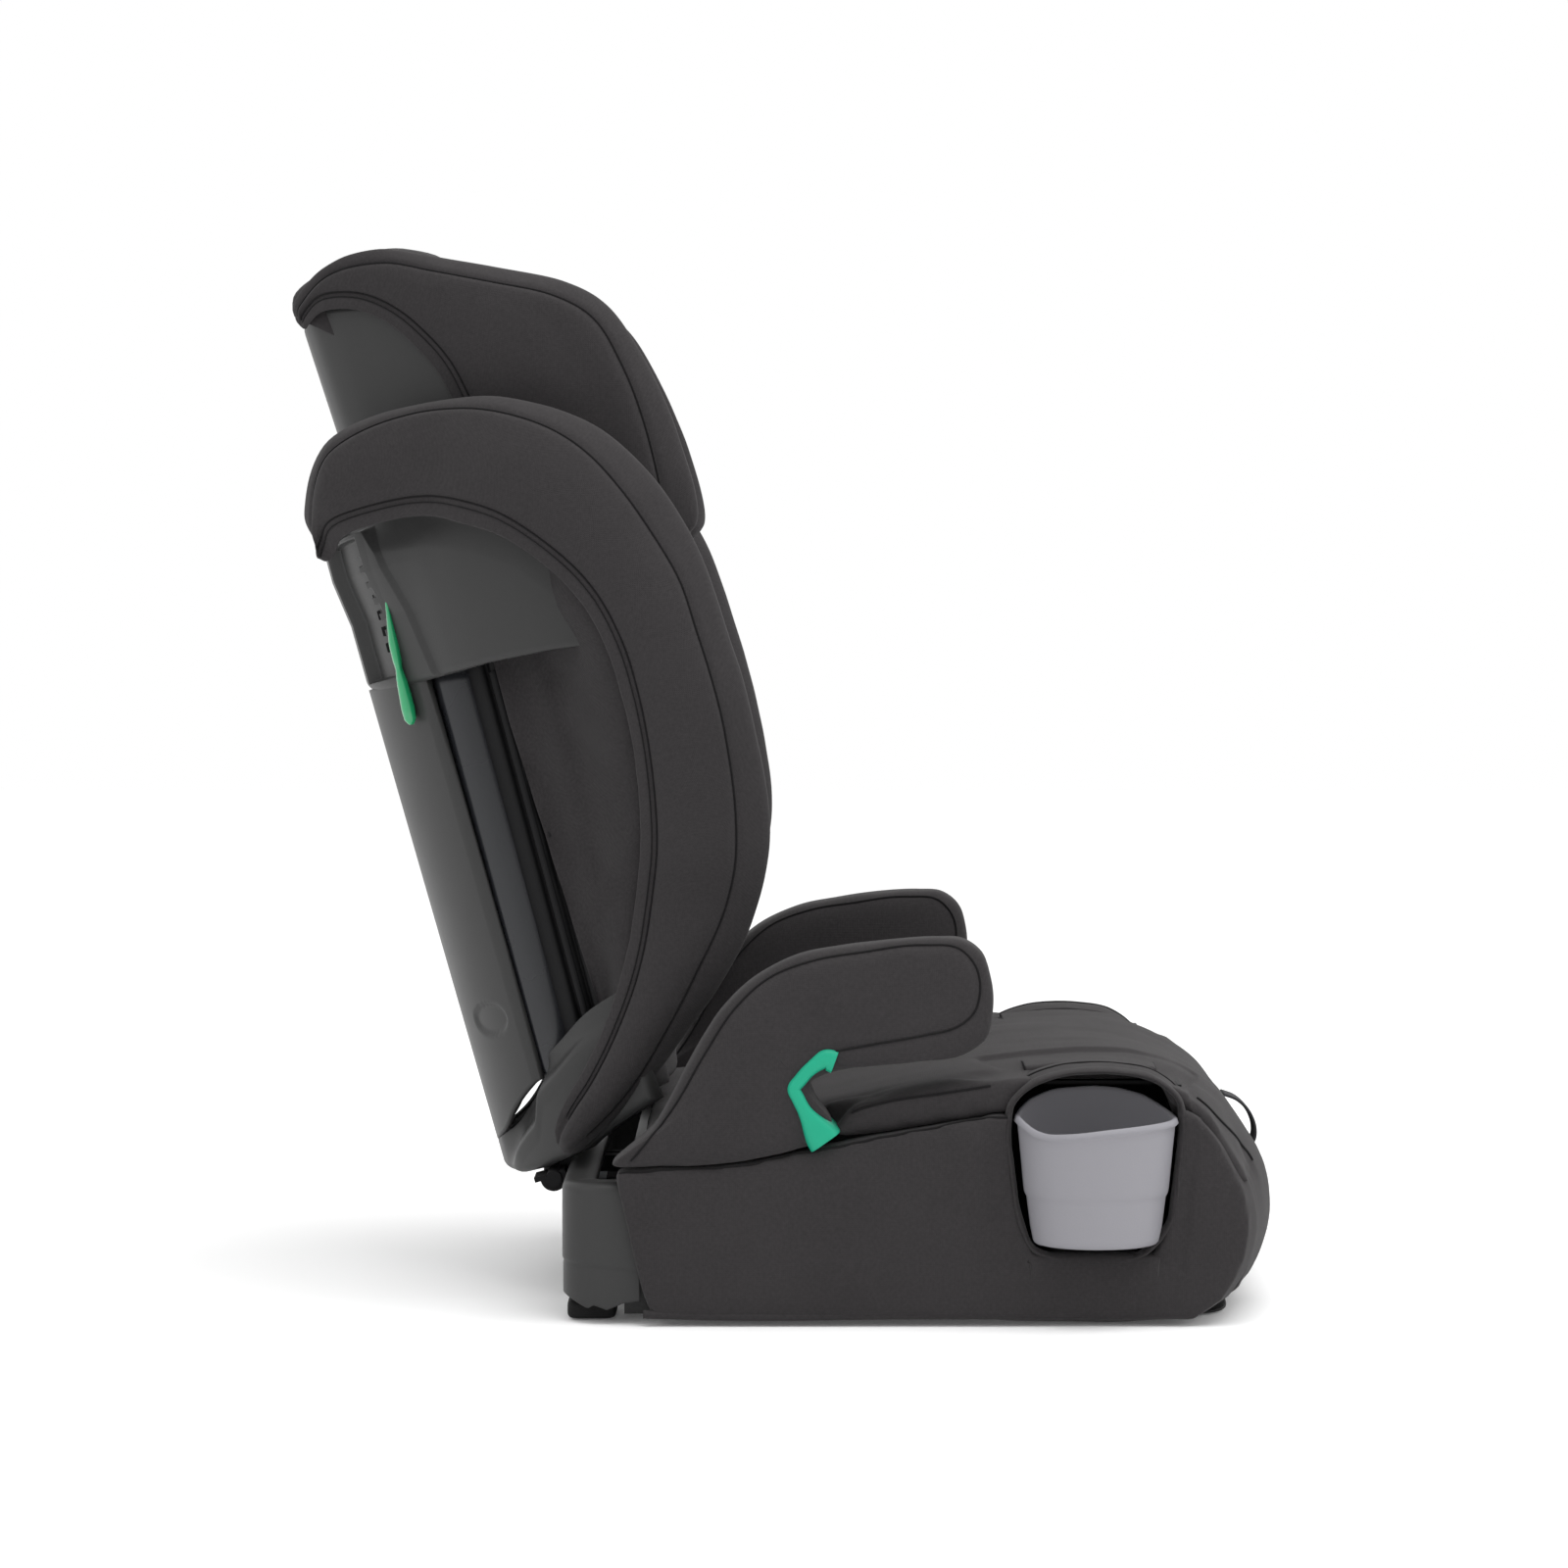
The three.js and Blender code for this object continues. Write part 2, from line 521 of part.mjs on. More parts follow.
function makeHousing() {
  const { bottom, wall } = housing;
  const side = smooth([[97, 34], [130, 58], [160, 95], [176, 130], [181, 160]], 12);
  const right = side.map(([x, v]) => [-x, v]).reverse();
  const curve = [...right, ...bulgeArc(94, -2), ...side];
  const skin = planSlab(plan(wallAlong(curve, wall)), rise(270), rise(430));
  const top = smooth([[-8, 408], [31, 421], [66, 417], [95, 405], [122, 384], [150, 345], [161, 300]], 14);
  const lip = smooth([[163, 284], [156, 297], [142, 306], [116, bottom], [76, bottom]], 8);
  const profile = upright([...top, ...lip, [-8, bottom]]);
  const slotX = [lever.innerX - 3, lever.innerX + lever.width + 3];
  const slot = bothSides(block(slotX[0] - 12, slotX[1], -30, 20, rise(280), rise(405)));
  const rackWay = bothSides(block(
    rack.innerX - play, rack.innerX + rack.width + play, -rack.front - play, -rack.rear + play, rise(400), rise(440),
  ));
  const behindSkin = planSlab(plan([...curve, [200, 200], [-200, 200]]), rise(270), rise(430));
  const bridge = bothSides(block(48, 86, 1 - post.rear, 20, rise(407), rise(413))).intersect(behindSkin);
  const cutSkin = skin.intersect(sidePlate(profile, -240, 240)).subtract(slot);
  const skinned = cutSkin.add(bridge).subtract(rackWay);
  put('housing', skinned, shellPlastic, backGroup);
  const stay = block(-column.halfWidth, column.halfWidth, -post.front - 8, -post.front - 3, rise(bottom) + gap, rise(400));
  put('housing_plate', stay, blackPlastic, backGroup);
}

// ---------------------------------------------------------------- headrest release
function makeRelease() {
  const { innerX, width, pivotForward, shaftRadius } = lever;
  const pivotUp = rise(lever.pivotUp);
  const outline = [
    [pivotForward + 4, pivotUp + 4], [pivotForward + 4, pivotUp - 5], [21, pivotUp - 22], [19.4, pivotUp - 40],
    [19.4, pivotUp - 70], [17.5, pivotUp - 77], [14.5, pivotUp - 76], [13.4, pivotUp - 66], [13.6, pivotUp - 34],
    [15, pivotUp - 10], [20, pivotUp + 4],
  ];
  const arm = sidePlate(outline.map(([v, w]) => [-v, w]), innerX, innerX + width);
  const bore = rodX(shaftRadius + 0.2, 0, 200, -pivotForward, pivotUp);
  putPair('release_lever', arm.subtract(bore), leverGreen, backGroup);
  const shaftEnd = innerX + width - 1;
  put('lever_shaft', rodX(shaftRadius, -shaftEnd, shaftEnd, -pivotForward, pivotUp), steel, backGroup);
  const tip = post.rear - play;
  const nose = [
    [pivotForward - 5, pivotUp + 4], [pivotForward + 3, pivotUp + 5], [tip, pivotUp + 1], [tip, pivotUp - 1.5],
    [pivotForward + 3, pivotUp - 5], [pivotForward - 5, pivotUp - 4],
  ];
  const pawl = sidePlate(nose.map(([v, w]) => [-v, w]), -14, 14);
  put('lock_pawl', pawl.subtract(rodX(shaftRadius + 0.2, -20, 20, -pivotForward, pivotUp)), steel, backGroup);
}

// ---------------------------------------------------------------- back pad, webs and wing rolls
function makeBackPad() {
  const { halfWidth, rear, front, bottom, top } = backPad;
  const crown = smooth([[-halfWidth, rear + 10], [-halfWidth + 14, front - 3], [0, front], [halfWidth - 14, front - 3],
    [halfWidth, rear + 10]], 12);
  put('back_pad', planSlab(plan([[halfWidth, rear], [-halfWidth, rear], ...crown]), rise(bottom), rise(top)), fabric, backGroup);
}

function makeWebs() {
  const curve = smooth([[backPad.halfWidth + gap, 94], [132, 106], [147, 130], [158, 168]], 10);
  const wall = planSlab(plan(wallAlong(curve, -8)), rise(40), rise(400));
  const inside = upright([...shifted(hem, 3).slice(1, 11), [60, 384], [60, 60]]);
  putPair('wing_web', wall.intersect(sidePlate(inside, 0, 240)), fabric, backGroup);
}

// The padded roll round each wing: outer edge and hem, [forward, up], and the middle of its thickness, x.
const rollOuter = [[49, 1], [98, 29], [138, 60], [166, 84], [197, 120], [219, 169], [228, 235], [227, 300],
  [217, 361], [190, 420], [143, 460], [82, 476], [20, 470], [-10, 430]];
const rollX = [122, 134, 142, 146, 150, 168, 189, 196, 195, 188, 176, 152, 128, 108];

function makeRolls() {
  const stations = 26;
  const sides = 12;
  const outer = new THREE.SplineCurve(rollOuter.map(([v, w]) => new THREE.Vector2(v, w)));
  const inner = new THREE.SplineCurve(hem.map(([v, w]) => new THREE.Vector2(v, w)));
  const middle = new THREE.SplineCurve(rollX.map((x, i) => new THREE.Vector2(i, x)));
  const rings = [];
  for (let s = 0; s <= stations; s++) {
    const t = s / stations;
    const [a, b] = [outer.getPoint(t), inner.getPoint(t)];
    const x = middle.getPoint(t).y;
    const ring = [];
    for (let i = 0; i < sides; i++) {
      const turn = (2 * Math.PI * (i + 0.5)) / sides;
      const [c, d] = [Math.cos(turn), Math.sin(turn)].map((q) => Math.sign(q) * Math.abs(q) ** 0.6);
      const across = 0.5 + 0.5 * c;
      const forward = b.x + (a.x - b.x) * across;
      const up = b.y + (a.y - b.y) * across;
      ring.push(new THREE.Vector3(x + roll.halfThickness * d, -forward, rise(up)));
    }
    rings.push(ring);
  }
  putPair('wing_roll', ringSolid(rings), fabric, backGroup);
}

// ---------------------------------------------------------------- headrest
function makeHeadShell() {
  const side = smooth([[72, 15], [84, 19], [110, 57], [137, 109]], 8);
  const right = side.map(([x, v]) => [-x, v]).reverse();
  const wall = planSlab(plan(wallAlong([...right, [0, 12], ...side], 4)), rise(428), rise(560));
  const outline = upright([[6, 428], [6, 543], [15, 545], [36, 555], [58, 551], [78, 538], [92, 519], [103, 497], [111, 470],
    [114, 428]]);
  put('headrest_shell', wall.intersect(sidePlate(outline, -200, 200)), shellPlastic, backGroup);
}

function makePost() {
  const { halfWidth, rear, front, bottom, top, toothPitch } = post;
  const plate = block(-halfWidth, halfWidth, -front, -rear, rise(bottom), rise(top));
  const boss = block(-30, 30, -rear - 1, -18, rise(436), rise(top - 8));
  let teeth = block(-15, 15, -rear - 1.5, -rear + 5, rise(bottom) + 20, rise(bottom) + 24);
  for (let z = rise(bottom) + 20 + toothPitch; z < rise(lever.pivotUp) + 20; z += toothPitch) {
    teeth = teeth.add(block(-15, 15, -rear - 1.5, -rear + 5, z, z + 4));
  }
  put('headrest_post', plate.add(boss).subtract(teeth), blackPlastic, backGroup);
}

function makeRacks() {
  const { innerX, width, rear, front, bottom, top } = rack;
  const strip = [[-front, rise(bottom)], [-front, rise(top)]];
  for (let z = rise(top); z > rise(bottom) + post.toothPitch; z -= post.toothPitch) {
    strip.push([-rear, z], [-rear, z - post.toothPitch * 0.55], [-rear - 3.5, z - post.toothPitch * 0.6]);
    strip.push([-rear - 3.5, z - post.toothPitch + 0.3]);
  }
  const bar = sidePlate(strip.reverse(), innerX, innerX + width);
  putPair('headrest_rack', bar, blackPlastic, backGroup);
}

function makeHeadPads() {
  const profile = upright([[62, 400], [62, 549], [50, 556], [16, 560], [24, 571], [43, 577], [64, 582], [84, 581], [99, 574],
    [106, 560], [108, 480], [112, 410], [106, 400]]);
  put('headrest_pad', sidePlate(profile, -headPad.halfWidth, headPad.halfWidth), fabric, backGroup);
  const curve = smooth([[headPad.halfWidth + gap, 62], [104, 72], [126, 110], [144, 141], [154, 190], [158, 232]], 14);
  const slab = planSlab(plan(wallAlong(curve, headPad.wingThickness)), rise(340), rise(590));
  const outline = upright([...smooth([[62, 572], [99, 566], [130, 553], [168, 537], [198, 516], [220, 482], [230, 429],
    [231, 386], [227, 360], [218, 350], [200, 352], [150, 372], [106, 400]], 26), [62, 400]]);
  const cut = slab.intersect(sidePlate(outline, headPad.halfWidth + gap, 240));
  putPair('headrest_wing', cut, fabric, backGroup);
}

function makeBeltClips() {
  const [x0, x1] = [112, 128];
  const body = block(x0, x1, -165, -140, rise(338), rise(361));
  const slot = block(x0 + 4, x1 - 4, -160, -130, rise(332), rise(356));
  putPair('belt_clip', body.subtract(slot), teal, backGroup);
}

makeBaseShell();
makeBaseFloor();
makeRearCover();
makeFeet();
makeSeatPad();
makeSidePanels();
makeArmrests();
makeBeltGuides();
makeCups();
makeCupCarriers();
makeCupPockets();
makeConnectors();
makePullLoop();
makeHinge();
makeLowerShell();
makeColumn();
makeHousing();
makeRelease();
makeBackPad();
makeWebs();
makeRolls();
makeHeadShell();
makePost();
makeRacks();
makeHeadPads();
makeBeltClips();

export default seat;
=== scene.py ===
import json
import math

import bmesh
import bpy
import numpy as np
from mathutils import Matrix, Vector
from mathutils.bvhtree import BVHTree


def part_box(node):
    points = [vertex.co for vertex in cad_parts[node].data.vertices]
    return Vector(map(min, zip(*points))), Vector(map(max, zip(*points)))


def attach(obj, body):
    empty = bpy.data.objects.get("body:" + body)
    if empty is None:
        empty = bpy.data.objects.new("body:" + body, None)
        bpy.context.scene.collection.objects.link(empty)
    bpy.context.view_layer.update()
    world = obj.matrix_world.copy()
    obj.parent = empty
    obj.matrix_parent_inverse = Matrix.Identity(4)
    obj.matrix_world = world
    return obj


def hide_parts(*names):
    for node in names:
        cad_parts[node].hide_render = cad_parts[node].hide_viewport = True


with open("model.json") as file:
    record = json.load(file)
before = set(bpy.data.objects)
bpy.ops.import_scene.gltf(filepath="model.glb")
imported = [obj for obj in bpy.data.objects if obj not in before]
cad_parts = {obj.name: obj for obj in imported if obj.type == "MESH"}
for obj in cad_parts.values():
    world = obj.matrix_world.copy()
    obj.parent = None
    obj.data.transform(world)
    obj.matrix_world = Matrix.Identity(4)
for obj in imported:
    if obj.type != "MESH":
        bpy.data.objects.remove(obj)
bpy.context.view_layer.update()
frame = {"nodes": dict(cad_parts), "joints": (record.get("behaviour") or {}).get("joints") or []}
mm = 0.001

# ---- the back's own axes, from the joints
joints = {j["name"]: j for j in frame["joints"]}
backUp = np.array(joints["headrest_slide"]["axis"], float)
backUp = backUp / np.linalg.norm(backUp)
backForward = np.array([0.0, -backUp[2], backUp[1]])
leverPivot = np.array(joints["release_squeeze"]["pos_m"], float) / mm
backOrigin = leverPivot * [0, 1, 1] - 27 * backForward - 362 * backUp


def nodeBox(name):
    low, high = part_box(name)
    return np.array(low) / mm, np.array(high) / mm


def fromBack(v, w, x):
    # back points to the seat's frame: origin + v * forward + w * up, with x across
    v, w, x = np.broadcast_arrays(*(np.asarray(a, float) for a in (v, w, x)))
    place = backOrigin + v[..., None] * backForward + w[..., None] * backUp
    place[..., 0] = x
    return place


# ---- curves
def curveThrough(points, count, closed=False):
    # cubic pieces through the points; the slope at each is that of its two neighbours
    p = np.array(points, float)
    if closed:
        p = np.vstack([p[-2:], p, p[:3]])
    step = np.linalg.norm(np.diff(p, axis=0), axis=1)
    s = np.r_[0, np.cumsum(step)]
    slope = np.gradient(p, s, axis=0)
    first, last = (s[2], s[-3]) if closed else (s[0], s[-1])
    q = np.linspace(first, last, count + 1)[:-1] if closed else np.linspace(first, last, count)
    i = np.clip(np.searchsorted(s, q, side="right") - 1, 0, len(s) - 2)
    h = (s[i + 1] - s[i])[:, None]
    t = (q - s[i])[:, None] / h
    return (
        (2 * t**3 - 3 * t**2 + 1) * p[i]
        + (t**3 - 2 * t**2 + t) * h * slope[i]
        + (3 * t**2 - 2 * t**3) * p[i + 1]
        + (t**3 - t**2) * h * slope[i + 1]
    )


def alongIndex(values, count):
    # the same cubic, but each given value takes an equal share of the run
    v = np.array(values, float)
    flat = v.ndim == 1
    v = v[:, None] if flat else v
    slope = np.gradient(v, axis=0)
    q = np.linspace(0, len(v) - 1, count)
    i = np.clip(q.astype(int), 0, len(v) - 2)
    t = (q - i)[:, None]
    out = (
        (2 * t**3 - 3 * t**2 + 1) * v[i]
        + (t**3 - 2 * t**2 + t) * slope[i]
        + (3 * t**2 - 2 * t**3) * v[i + 1]
        + (t**3 - t**2) * slope[i + 1]
    )
    return out[:, 0] if flat else out


def easeStep(a, b, x):
    t = np.clip((np.asarray(x, float) - a) / (b - a), 0, 1)
    return t * t * (3 - 2 * t)


def softNoise(points, size, seed, octaves=3):
    # a sum of crossing waves with seeded directions and phases, each octave half the size of the last
    rng = np.random.default_rng(seed)
    total = np.zeros(points.shape[:-1])
    for octave in range(octaves):
        direction = rng.normal(size=(6, 3))
        direction /= np.linalg.norm(direction, axis=1)[:, None]
        phase = rng.uniform(0, 2 * np.pi, 6)
        reach = size / 2**octave
        waves = np.sin(points @ direction.T * (2 * np.pi / reach) + phase)
        total += waves.mean(-1) / 2**octave
    return total


# ---- meshes
def finishMesh(name, vertices, faces, uv=None, outward=True):
    mesh = bpy.data.meshes.new(name)
    mesh.from_pydata((vertices * mm).tolist(), [], faces)
    mesh.update()
    if uv is not None:
        layer = mesh.uv_layers.new(name="cloth")
        layer.data.foreach_set("uv", (uv * mm).ravel().astype(np.float32))
    if outward and signedVolume(mesh) < 0:
        mesh.flip_normals()
    mesh.polygons.foreach_set("use_smooth", np.ones(len(mesh.polygons), bool))
    piece = bpy.data.objects.new(name, mesh)
    bpy.context.scene.collection.objects.link(piece)
    return piece


def signedVolume(mesh):
    mesh.calc_loop_triangles()
    corners = np.zeros(len(mesh.loop_triangles) * 3, int)
    mesh.loop_triangles.foreach_get("vertices", corners)
    p = readPoints(mesh)[corners.reshape(-1, 3)]
    return float(np.einsum("ij,ij->i", p[:, 0], np.cross(p[:, 1], p[:, 2])).sum() / 6)


def readPoints(mesh):
    co = np.zeros(len(mesh.vertices) * 3)
    mesh.vertices.foreach_get("co", co)
    return co.reshape(-1, 3)


def writePoints(mesh, points):
    mesh.vertices.foreach_set("co", points.ravel().astype(np.float32))
    mesh.update()


def readNormals(mesh):
    normal = np.zeros(len(mesh.vertices) * 3, np.float32)
    mesh.vertex_normals.foreach_get("vector", normal)
    return normal.reshape(-1, 3).astype(float)


def gridPiece(name, grid, closeU=False, closeV=False, capEnds=False, outward=True):
    # a grid of points as quads; closed ways wrap round, and capped ends get a middle point
    nu, nv = grid.shape[:2]
    vertices = grid.reshape(-1, 3)
    i, j = np.meshgrid(np.arange(nu if closeU else nu - 1), np.arange(nv if closeV else nv - 1), indexing="ij")
    i, j = i.ravel(), j.ravel()
    i2, j2 = (i + 1) % nu, (j + 1) % nv
    quads = np.stack([i * nv + j, i2 * nv + j, i2 * nv + j2, i * nv + j2], -1)
    wideU = np.vstack([grid, grid[:1]]) if closeU else grid
    wideV = np.hstack([grid, grid[:, :1]]) if closeV else grid
    alongU = np.r_[0, np.cumsum(np.linalg.norm(np.diff(wideU, axis=0), axis=2).mean(1))]
    alongV = np.r_[0, np.cumsum(np.linalg.norm(np.diff(wideV, axis=1), axis=2).mean(0))]
    uv = np.stack([
        np.stack([alongU[i], alongV[j]], -1), np.stack([alongU[i + 1], alongV[j]], -1),
        np.stack([alongU[i + 1], alongV[j + 1]], -1), np.stack([alongU[i], alongV[j + 1]], -1),
    ], 1).reshape(-1, 2)
    faces = quads.tolist()
    if capEnds:
        hub = len(vertices)
        vertices = np.vstack([vertices, grid[0].mean(0), grid[-1].mean(0)])
        k = np.arange(nv)
        k2 = (k + 1) % nv
        first = np.stack([np.full(nv, hub), k, k2], -1)
        last = np.stack([np.full(nv, hub + 1), (nu - 1) * nv + k2, (nu - 1) * nv + k], -1)
        faces += first.tolist() + last.tolist()
        ends = np.concatenate([
            np.stack([np.stack([alongU[[0]].repeat(nv), alongV[k]], -1)] * 3, 1).reshape(-1, 2),
            np.stack([np.stack([alongU[[-1]].repeat(nv), alongV[k]], -1)] * 3, 1).reshape(-1, 2),
        ])
        uv = np.vstack([uv, ends])
    return finishMesh(name, vertices, faces, uv, outward)


def railLoft(rails, perSpan, soft=None):
    # closed sections through the rails, one rail to a corner: soft 1 rounds a corner fully, 0 leaves it sharp
    r = np.array(rails, float)
    k = len(r)
    soft = np.ones(k) if soft is None else np.array(soft, float)
    nextStep = np.linalg.norm(np.roll(r, -1, 0) - r, axis=2)[..., None] + 1e-6
    lastStep = np.roll(nextStep, 1, 0)
    onward = (np.roll(r, -1, 0) - r) / nextStep
    back = (r - np.roll(r, 1, 0)) / lastStep
    slope = (onward * lastStep + back * nextStep) / (nextStep + lastStep)
    columns = []
    for a in range(k):
        b = (a + 1) % k
        t = np.linspace(0, 1, perSpan[a] + 1)[:-1][:, None, None]
        h = nextStep[a]
        out = slope[a] * soft[a] + onward[a] * (1 - soft[a])
        into = slope[b] * soft[b] + onward[a] * (1 - soft[b])
        columns.append(
            (2 * t**3 - 3 * t**2 + 1) * r[a] + (t**3 - 2 * t**2 + t) * h * out
            + (3 * t**2 - 2 * t**3) * r[b] + (t**3 - t**2) * h * into
        )
    return np.concatenate(columns).transpose(1, 0, 2)


def roundEnds(grid, reach, keep=0.12):
    # sections shrink towards their middles over the last few rows, as a quarter circle
    rows = len(grid)
    fromEnd = np.minimum(np.arange(rows), np.arange(rows)[::-1]) / reach
    scale = keep + (1 - keep) * np.sqrt(np.clip(1 - (1 - np.clip(fromEnd, 0, 1)) ** 2, 0, 1))
    middle = grid.mean(1, keepdims=True)
    return middle + (grid - middle) * scale[:, None, None]


def gridNormals(grid):
    across = np.gradient(grid, axis=0)
    along = np.roll(grid, -1, 1) - np.roll(grid, 1, 1)
    n = np.cross(across, along)
    n /= np.linalg.norm(n, axis=2, keepdims=True) + 1e-9
    middle = grid.mean(1, keepdims=True)
    return n * np.sign(((grid - middle) * n).sum(2).mean())


def tubeAlong(path, radius, sides=8, rise=None, flat=1.0):
    # a round section carried along a path; flat squeezes it towards the path's side direction
    p = np.array(path, float)
    t = np.gradient(p, axis=0)
    t /= np.linalg.norm(t, axis=1)[:, None]
    rise = np.array([1.0, 0, 0]) if rise is None else np.array(rise, float)
    a = np.cross(t, rise)
    a /= np.linalg.norm(a, axis=1)[:, None] + 1e-9
    b = np.cross(a, t)
    turn = np.linspace(0, 2 * np.pi, sides, endpoint=False)
    radius = np.broadcast_to(np.asarray(radius, float), (len(p),))[:, None, None]
    ring = np.cos(turn)[None, :, None] * a[:, None] + flat * np.sin(turn)[None, :, None] * b[:, None]
    return p[:, None] + radius * ring


def seamOn(name, curve, target, side, radius=0.9, sink=0.35, spread=7, outermost=False):
    # a stitched line: side view points are carried across onto the target's outer face, then a fine tube follows them
    points = readPoints(target.data) / mm
    faces = [tuple(p.vertices) for p in target.data.polygons]
    tree = BVHTree.FromPolygons(points.tolist(), faces)
    hits = []
    for y, z in curve:
        tries = (tree.ray_cast(Vector((side * 400, y, z + up)), Vector((-side, 0, 0)))[0] for up in (0, -2, -4, -7, 3))
        hits.append(next((p.x for p in tries if p is not None), np.nan))
    x = np.array(hits)
    keep = ~np.isnan(x)
    if keep.sum() < spread:
        print("seam", name, "found no cloth under it")
        return None
    curve, x = np.array(curve)[keep], x[keep]
    if outermost:
        reach = side * np.r_[x[:1].repeat(spread // 2), x, x[-1:].repeat(spread // 2)]
        x = side * np.lib.stride_tricks.sliding_window_view(reach, spread).max(1)
    window = np.ones(spread) / spread
    padded = np.r_[x[:1].repeat(spread // 2), x, x[-1:].repeat(spread // 2)]
    x = np.convolve(padded, window, "valid")
    path = np.column_stack([x, curve])
    near = [tree.find_nearest(Vector(point)) for point in path]
    spot, normal = (np.array([tuple(n[part]) for n in near]) for part in (0, 1))
    path = spot + normal * radius * (0.5 - sink)
    path[1:-1] = (path[:-2] + path[1:-1] + path[2:]) / 3
    return gridPiece(name, tubeAlong(path, radius, 8), closeV=True, capEnds=True)


def distanceTo(points, curve):
    # the least distance in the side view from each point to a run of short straight pieces
    c = np.array(curve, float)
    best = np.full(len(points), 1e9)
    for a, b in zip(c[:-1], c[1:]):
        d = b - a
        t = np.clip(((points - a) @ d) / (d @ d + 1e-9), 0, 1)
        best = np.minimum(best, np.linalg.norm(points - a - t[:, None] * d, axis=1))
    return best


def pressSeams(piece, curves, side, depth=1.6, width=3.2):
    # pulls the cloth in along its seams, as a bell shaped groove, on the outer face only
    points = readPoints(piece.data) / mm
    normal = readNormals(piece.data)
    facing = np.clip(normal[:, 0] * side * 1.6, 0, 1)
    for curve in curves:
        c = np.array(curve, float)
        near = (
            (points[:, 1] > c[:, 0].min() - 12) & (points[:, 1] < c[:, 0].max() + 12)
            & (points[:, 2] > c[:, 1].min() - 12) & (points[:, 2] < c[:, 1].max() + 12) & (facing > 0)
        )
        index = np.nonzero(near)[0]
        away = distanceTo(points[index][:, 1:], c)
        points[index] -= normal[index] * (facing[index] * depth * np.exp(-((away / width) ** 2)))[:, None]
    writePoints(piece.data, points * mm)


def ridden(piece, body, slotName, *nodes):
    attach(piece, body)
    if nodes:
        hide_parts(*nodes)
    return piece


sides = {"right": -1, "left": 1}

# ---- finishes: shared shader groups
def newGroup(name, inputs, outputs):
    group = bpy.data.node_groups.new(name, "ShaderNodeTree")
    for label, kind, value in inputs:
        socket = group.interface.new_socket(label, in_out="INPUT", socket_type=kind)
        if value is not None:
            socket.default_value = value
    for label, kind in outputs:
        group.interface.new_socket(label, in_out="OUTPUT", socket_type=kind)
    return group, group.nodes.new("NodeGroupInput"), group.nodes.new("NodeGroupOutput")


def addNode(tree, kind, **settings):
    node = tree.nodes.new(kind)
    for key, value in settings.items():
        setattr(node, key, value)
    return node


def mathNode(tree, operation, a, b=None, c=None):
    node = addNode(tree, "ShaderNodeMath", operation=operation)
    for index, value in enumerate((a, b, c)):
        if value is None:
            continue
        if isinstance(value, (int, float)):
            node.inputs[index].default_value = value
        else:
            tree.links.new(value, node.inputs[index])
    return node.outputs[0]


def mixColours(tree, factor, a, b):
    node = addNode(tree, "ShaderNodeMix", data_type="RGBA")
    for socket, value in ((node.inputs[0], factor), (node.inputs[6], a), (node.inputs[7], b)):
        if isinstance(value, (int, float, tuple)):
            socket.default_value = value
        else:
            tree.links.new(value, socket)
    return node.outputs[2]


def buildWeave():
    # three crossed waves make an even thread pattern on any face; slow and fine noise make it melange
    group, given, out = newGroup(
        "wovenCloth",
        [("Place", "NodeSocketVector", None), ("Thread", "NodeSocketFloat", 0.0009), ("Fleck", "NodeSocketFloat", 0.5)],
        [("Height", "NodeSocketFloat"), ("Shade", "NodeSocketFloat")],
    )
    per = mathNode(group, "DIVIDE", 6.28318, given.outputs["Thread"])
    scaled = addNode(group, "ShaderNodeVectorMath", operation="SCALE")
    group.links.new(given.outputs["Place"], scaled.inputs[0])
    group.links.new(per, scaled.inputs["Scale"])
    parts = addNode(group, "ShaderNodeSeparateXYZ")
    group.links.new(scaled.outputs[0], parts.inputs[0])
    x, y, z = parts.outputs
    crossed = None
    for a, b in ((x, y), (y, z), (z, x)):
        term = mathNode(group, "MULTIPLY", mathNode(group, "SINE", a), mathNode(group, "COSINE", b))
        crossed = term if crossed is None else mathNode(group, "ADD", crossed, term)
    fine = addNode(group, "ShaderNodeTexNoise")
    fine.inputs["Scale"].default_value = 520
    fine.inputs["Detail"].default_value = 3
    group.links.new(given.outputs["Place"], fine.inputs["Vector"])
    slow = addNode(group, "ShaderNodeTexNoise")
    slow.inputs["Scale"].default_value = 14
    slow.inputs["Detail"].default_value = 4
    group.links.new(given.outputs["Place"], slow.inputs["Vector"])
    height = mathNode(group, "MULTIPLY_ADD", crossed, 0.28, 0.5)
    height = mathNode(group, "MULTIPLY_ADD", fine.outputs[0], 0.5, height)
    group.links.new(height, out.inputs["Height"])
    fleck = mathNode(group, "SUBTRACT", fine.outputs[0], 0.5)
    fleck = mathNode(group, "MULTIPLY", fleck, given.outputs["Fleck"])
    drift = mathNode(group, "MULTIPLY", mathNode(group, "SUBTRACT", slow.outputs[0], 0.5), 0.28)
    thread = mathNode(group, "MULTIPLY", crossed, 0.06)
    shade = mathNode(group, "ADD", mathNode(group, "ADD", fleck, drift), mathNode(group, "ADD", thread, 1.0))
    group.links.new(shade, out.inputs["Shade"])
    return group


